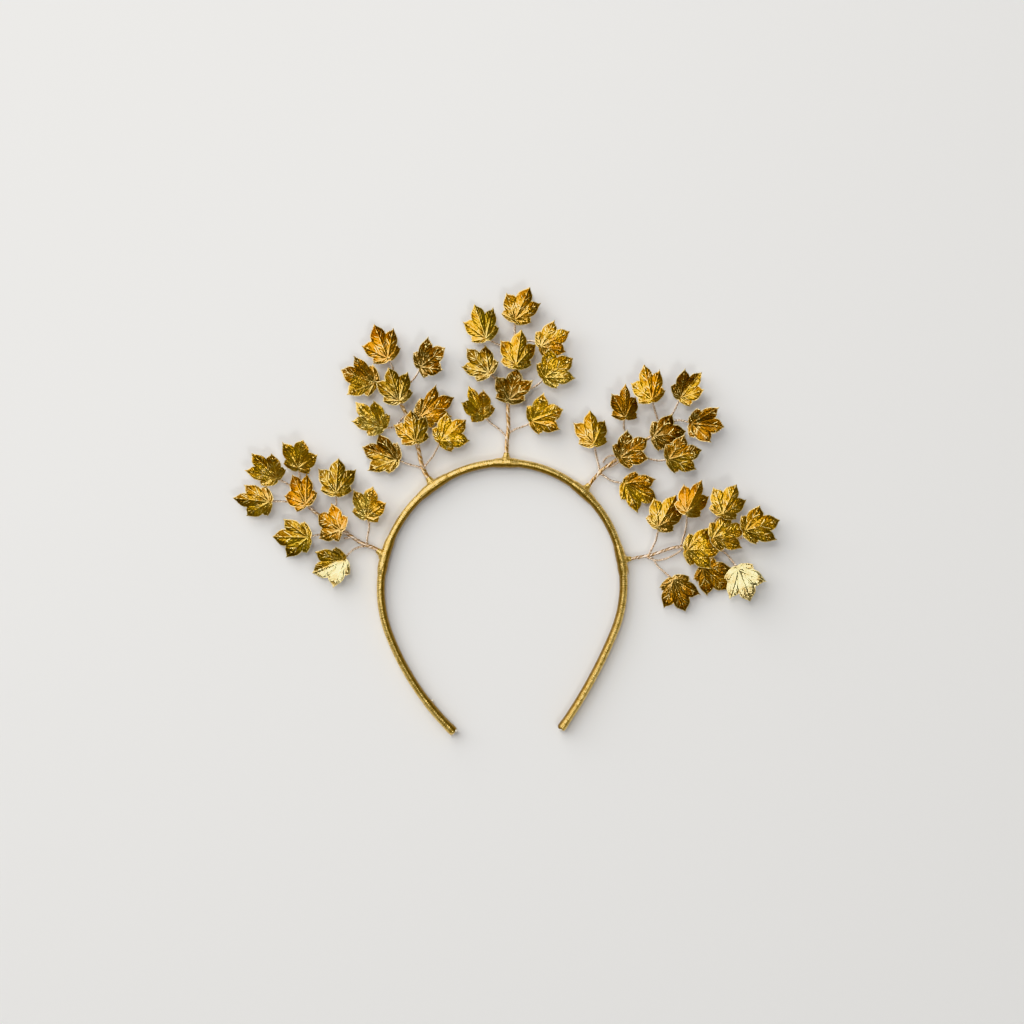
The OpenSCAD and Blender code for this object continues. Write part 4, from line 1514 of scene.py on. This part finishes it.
@dataclass(frozen=True)
class TwistedWires:
    """A spray's wires: a stem of loosely wound strands, and a twisted pair to each leaf."""

    winder: Winder
    finish: bpy.types.Material
    step: float = 0.28
    sides: int = 8
    stem: Lay = Lay(0.36, 7.0, 1.35, (0, 1, 0, 1, 1))
    gilt_tones: tuple[int, ...] = (2, 3, 2, 3, 1)
    pair: Lay = Lay(0.33, 3.0, 0.5)
    loose: Lay = Lay(0.32, 2.3, 0.5)
    pair_circle: float = 0.9  # of a strand's radius, so that two strands sink into each other a little
    stem_foot: tuple[float, float] = (3.4, 7.2)  # where the stem leaves the collar, from the band's centre line
    stem_radius: float = 0.95  # of the bundle there
    lead: float = 2.6  # how far before its stem point a branch leaves the bundle
    leaf_core: float = 0.4  # thickness of a leaf's solid
    seat_gap: float = 0.55  # from the leaf's underside to the branch's end

    def wind(self, solid: Solid, path: Array, circle: Array, lay: Lay, start: float = 0.0) -> None:
        """Wind strands round a path.

        A strand's centre lies on a circle round the path, turned by the distance over the pitch plus the
        strand's share of a turn. The circle breathes a little, differently for each strand.

        Args:
            solid: Where the strands go.
            path: The path's points.
            circle: Radius of the circle of centres at each point.
            lay: How the strands are wound.
            start: Share of a turn at the start.
        """
        distance, side, up = path_frame(path)
        owner = np.concatenate((np.repeat(np.arange(len(path)), self.sides), [0, len(path) - 1]))
        for number, tone in enumerate(lay.tones):
            turn = 2 * np.pi * (distance / lay.pitch + number / len(lay.tones) + start)
            turn = turn + 0.35 * np.sin(0.9 * distance + 2.1 * number)
            breath = circle * (1 + 0.1 * np.sin(1.3 * distance + 1.7 * number))
            centre = path + breath[:, None] * (np.cos(turn)[:, None] * up + np.sin(turn)[:, None] * side)
            points, _, quads, ends = tube(centre, np.full(len(path), lay.strand), self.sides)
            out = np.linalg.norm(points - path[owner], axis=1) / (circle[owner] + lay.strand)
            solid.add((points, np.column_stack((np.full(len(out), tone), out**lay.closeness)), quads, ends))

    def wind_pair(self, solid: Solid, way: Array, lay: Lay, start: float = 0.0) -> None:
        """Wind a pair of strands along a way."""
        path = smooth_path(way, self.step)
        self.wind(solid, path, np.full(len(path), self.pair_circle * lay.strand), lay, start)

    def build(self, name: str) -> bpy.types.Object:
        """Wind the stem, the branches and the loose wires of one spray.

        Args:
            name: Name of the spray.

        Returns:
            The piece.
        """
        spray = SPRAYS[name]
        foot = self.winder.stem_axis(BINDINGS[name], np.array(self.stem_foot))
        nodes = np.vstack((np.column_stack((foot, np.full(len(foot), self.stem_radius))), spray.stem))
        tones = self.gilt_tones if spray.gilt else self.stem.tones
        stem = replace(self.stem, strand=self.stem.strand * spray.stout, tones=tones)
        path = smooth_path(nodes, self.step)
        solid = Solid()
        self.wind(solid, path[:, :3], path[:, 3] * spray.stout - stem.strand, stem)
        for branch in spray.branches:
            leaf = LEAVES[name][branch.leaf - 1]
            fork, before = nodes[branch.start + 2, :3], nodes[branch.start + 1, :3]
            back = fork + (before - fork) * min(self.lead / np.linalg.norm(before - fork), 0.8)
            under = leaf.lift - self.leaf_core - self.seat_gap / math.cos(math.radians(leaf.rise))
            way = (back, 0.6 * fork + 0.4 * back, *branch.way, (leaf.x, leaf.y, under))
            self.wind_pair(solid, np.array(way), self.pair, 0.13 * branch.leaf)
        for strand in spray.strands:
            self.wind_pair(solid, np.array(strand, float), self.loose)
        return place(solid.piece(f"twisted_wires_{name}", self.finish), "wire", f"wires_{name}")


@dataclass(frozen=True)
class Bead:
    """A bead of dried glue: its middle, and half its size along x, y and z."""

    name: str
    middle: Point
    size: Point


@dataclass(frozen=True)
class DriedBeads:
    """Beads of clear glue that dried on the band's ends and its left leg."""

    finish: bpy.types.Material
    rows: int = 16
    sides: int = 24
    beads: tuple[Bead, ...] = (
        Bead("glue_left_outer", (-26.1, -114.8, 6.2), (0.9, 0.75, 0.7)),
        Bead("glue_left_inner", (-28.6, -117.3, 4.6), (0.55, 0.45, 0.5)),
        Bead("glue_left_side", (-38.3, -99.1, 4.7), (0.7, 0.65, 0.6)),
        Bead("glue_right", (28.6, -114.2, 6.6), (0.8, 0.65, 0.65)),
    )

    def build(self) -> None:
        """Make each bead: a ball stretched to its size, its radius swelled by waves in both directions."""
        lift = np.pi * (np.arange(1, self.rows + 1) / (self.rows + 1) - 0.5)[:, None]
        turn = 2 * np.pi * np.arange(self.sides)[None] / self.sides
        poles = np.array([[0, 0, -1], [0, 0, 1]])
        for bead in self.beads:
            swell = 1 + 0.1 * np.sin(3 * turn + 4 * lift + bead.middle[0]) + 0.06 * np.sin(5 * turn - 6 * lift)
            out = np.cos(lift) * swell
            ball = np.stack(
                np.broadcast_arrays(out * np.cos(turn), out * np.sin(turn), np.sin(lift)), axis=-1
            )
            solid = Solid()
            solid.add(capped(ball * bead.size + bead.middle, np.zeros(2), poles * bead.size + bead.middle))
            place(solid.piece(bead.name, self.finish), "ribbon")


@dataclass(frozen=True)
class Softbox:
    """A square area light that faces the headband: place and side in metres, and power in watts."""

    name: str
    place: Point
    side: float
    power: float

    def hang(self) -> None:
        """Hang the light."""
        data = bpy.data.lights.new(self.name, "AREA")
        data.size = self.side
        data.energy = self.power
        lamp = bpy.data.objects.new(self.name, data)
        lamp.location = self.place
        lamp.rotation_euler = (-lamp.location).to_track_quat("-Z", "Y").to_euler()
        bpy.context.scene.collection.objects.link(lamp)


@dataclass(frozen=True)
class Studio:
    """Pale paper floor, soft lights and the camera straight above, as the photograph was taken."""

    centre: tuple[float, float] = (3.07, -0.83)  # where the photograph's middle lies on the part
    frame_width: float = 532.5  # how much of the part's plane the photograph spans
    leaf_height: float = 8.0
    lens: float = 100.0
    sensor: float = 36.0
    clip_end: float = 40.0  # metres
    floor_half: float = 6000.0
    floor_gap: float = 0.05
    sky: str = "#DADCE0"
    sky_strength: float = 0.37
    softboxes: tuple[Softbox, ...] = (
        Softbox("key_softbox", (-1.4, 1.4, 1.5), 3.0, 64.0),
        Softbox("top_softbox", (-0.3, 0.5, 2.3), 0.45, 9.0),
        Softbox("glint_softbox", (0.55, -0.9, 2.1), 0.45, 7.0),
    )

    def floor(self) -> None:
        """Lay the paper just under the headband."""
        corners = np.array([[-1, -1, 0], [1, -1, 0], [1, 1, 0], [-1, 1, 0]]) * self.floor_half
        corners = corners - [0, 0, self.floor_gap]
        mesh_object("floor", corners, [np.array([[0, 1, 2, 3]])], SmoothPaper().material())

    def camera(self) -> None:
        """Hang the camera where the frame's width is the photograph's at the leaves' height."""
        data = bpy.data.cameras.new("camera")
        data.lens = self.lens
        data.sensor_width = self.sensor
        data.clip_end = self.clip_end
        rig = bpy.data.objects.new("camera", data)
        away = self.leaf_height + self.frame_width * self.lens / self.sensor
        rig.location = (self.centre[0] * MM, self.centre[1] * MM, away * MM)
        bpy.context.scene.collection.objects.link(rig)
        bpy.context.scene.camera = rig

    def build(self) -> None:
        """Set up the studio."""
        self.floor()
        self.camera()
        world = bpy.data.worlds.new("studio")
        world.use_nodes = True
        world.node_tree.nodes["Background"].inputs[0].default_value = linear(self.sky)
        world.node_tree.nodes["Background"].inputs[1].default_value = self.sky_strength
        bpy.context.scene.world = world
        # The neutral transform shows the finishes' own colours, where the filmic one pales gold
        bpy.context.scene.view_settings.view_transform = "Khronos PBR Neutral"
        for softbox in self.softboxes:
            softbox.hang()


def main() -> None:
    """Build the headband piece by piece, then the studio."""
    logging.basicConfig(level=logging.INFO, format="%(name)s: %(message)s")
    winder = Winder()
    ribbon = LameRibbon().material()
    WoundBand(winder, ribbon).build()
    DriedBeads(DriedGlue().material()).build()
    LooseEdge(ribbon).build()
    bindings = StemBinding(winder, ribbon)
    wires = TwistedWires(winder, DrawnBrassWire().material())
    leaves = StampedLeaves(Die(), StampedLacquerLeaf().material())
    for name, rows in LEAVES.items():
        bindings.build(name)
        wires.build(name)
        for number, leaf in enumerate(rows, start=1):
            leaves.build(name, number, leaf)
    Studio().build()


if __name__ == "__main__":
    main()
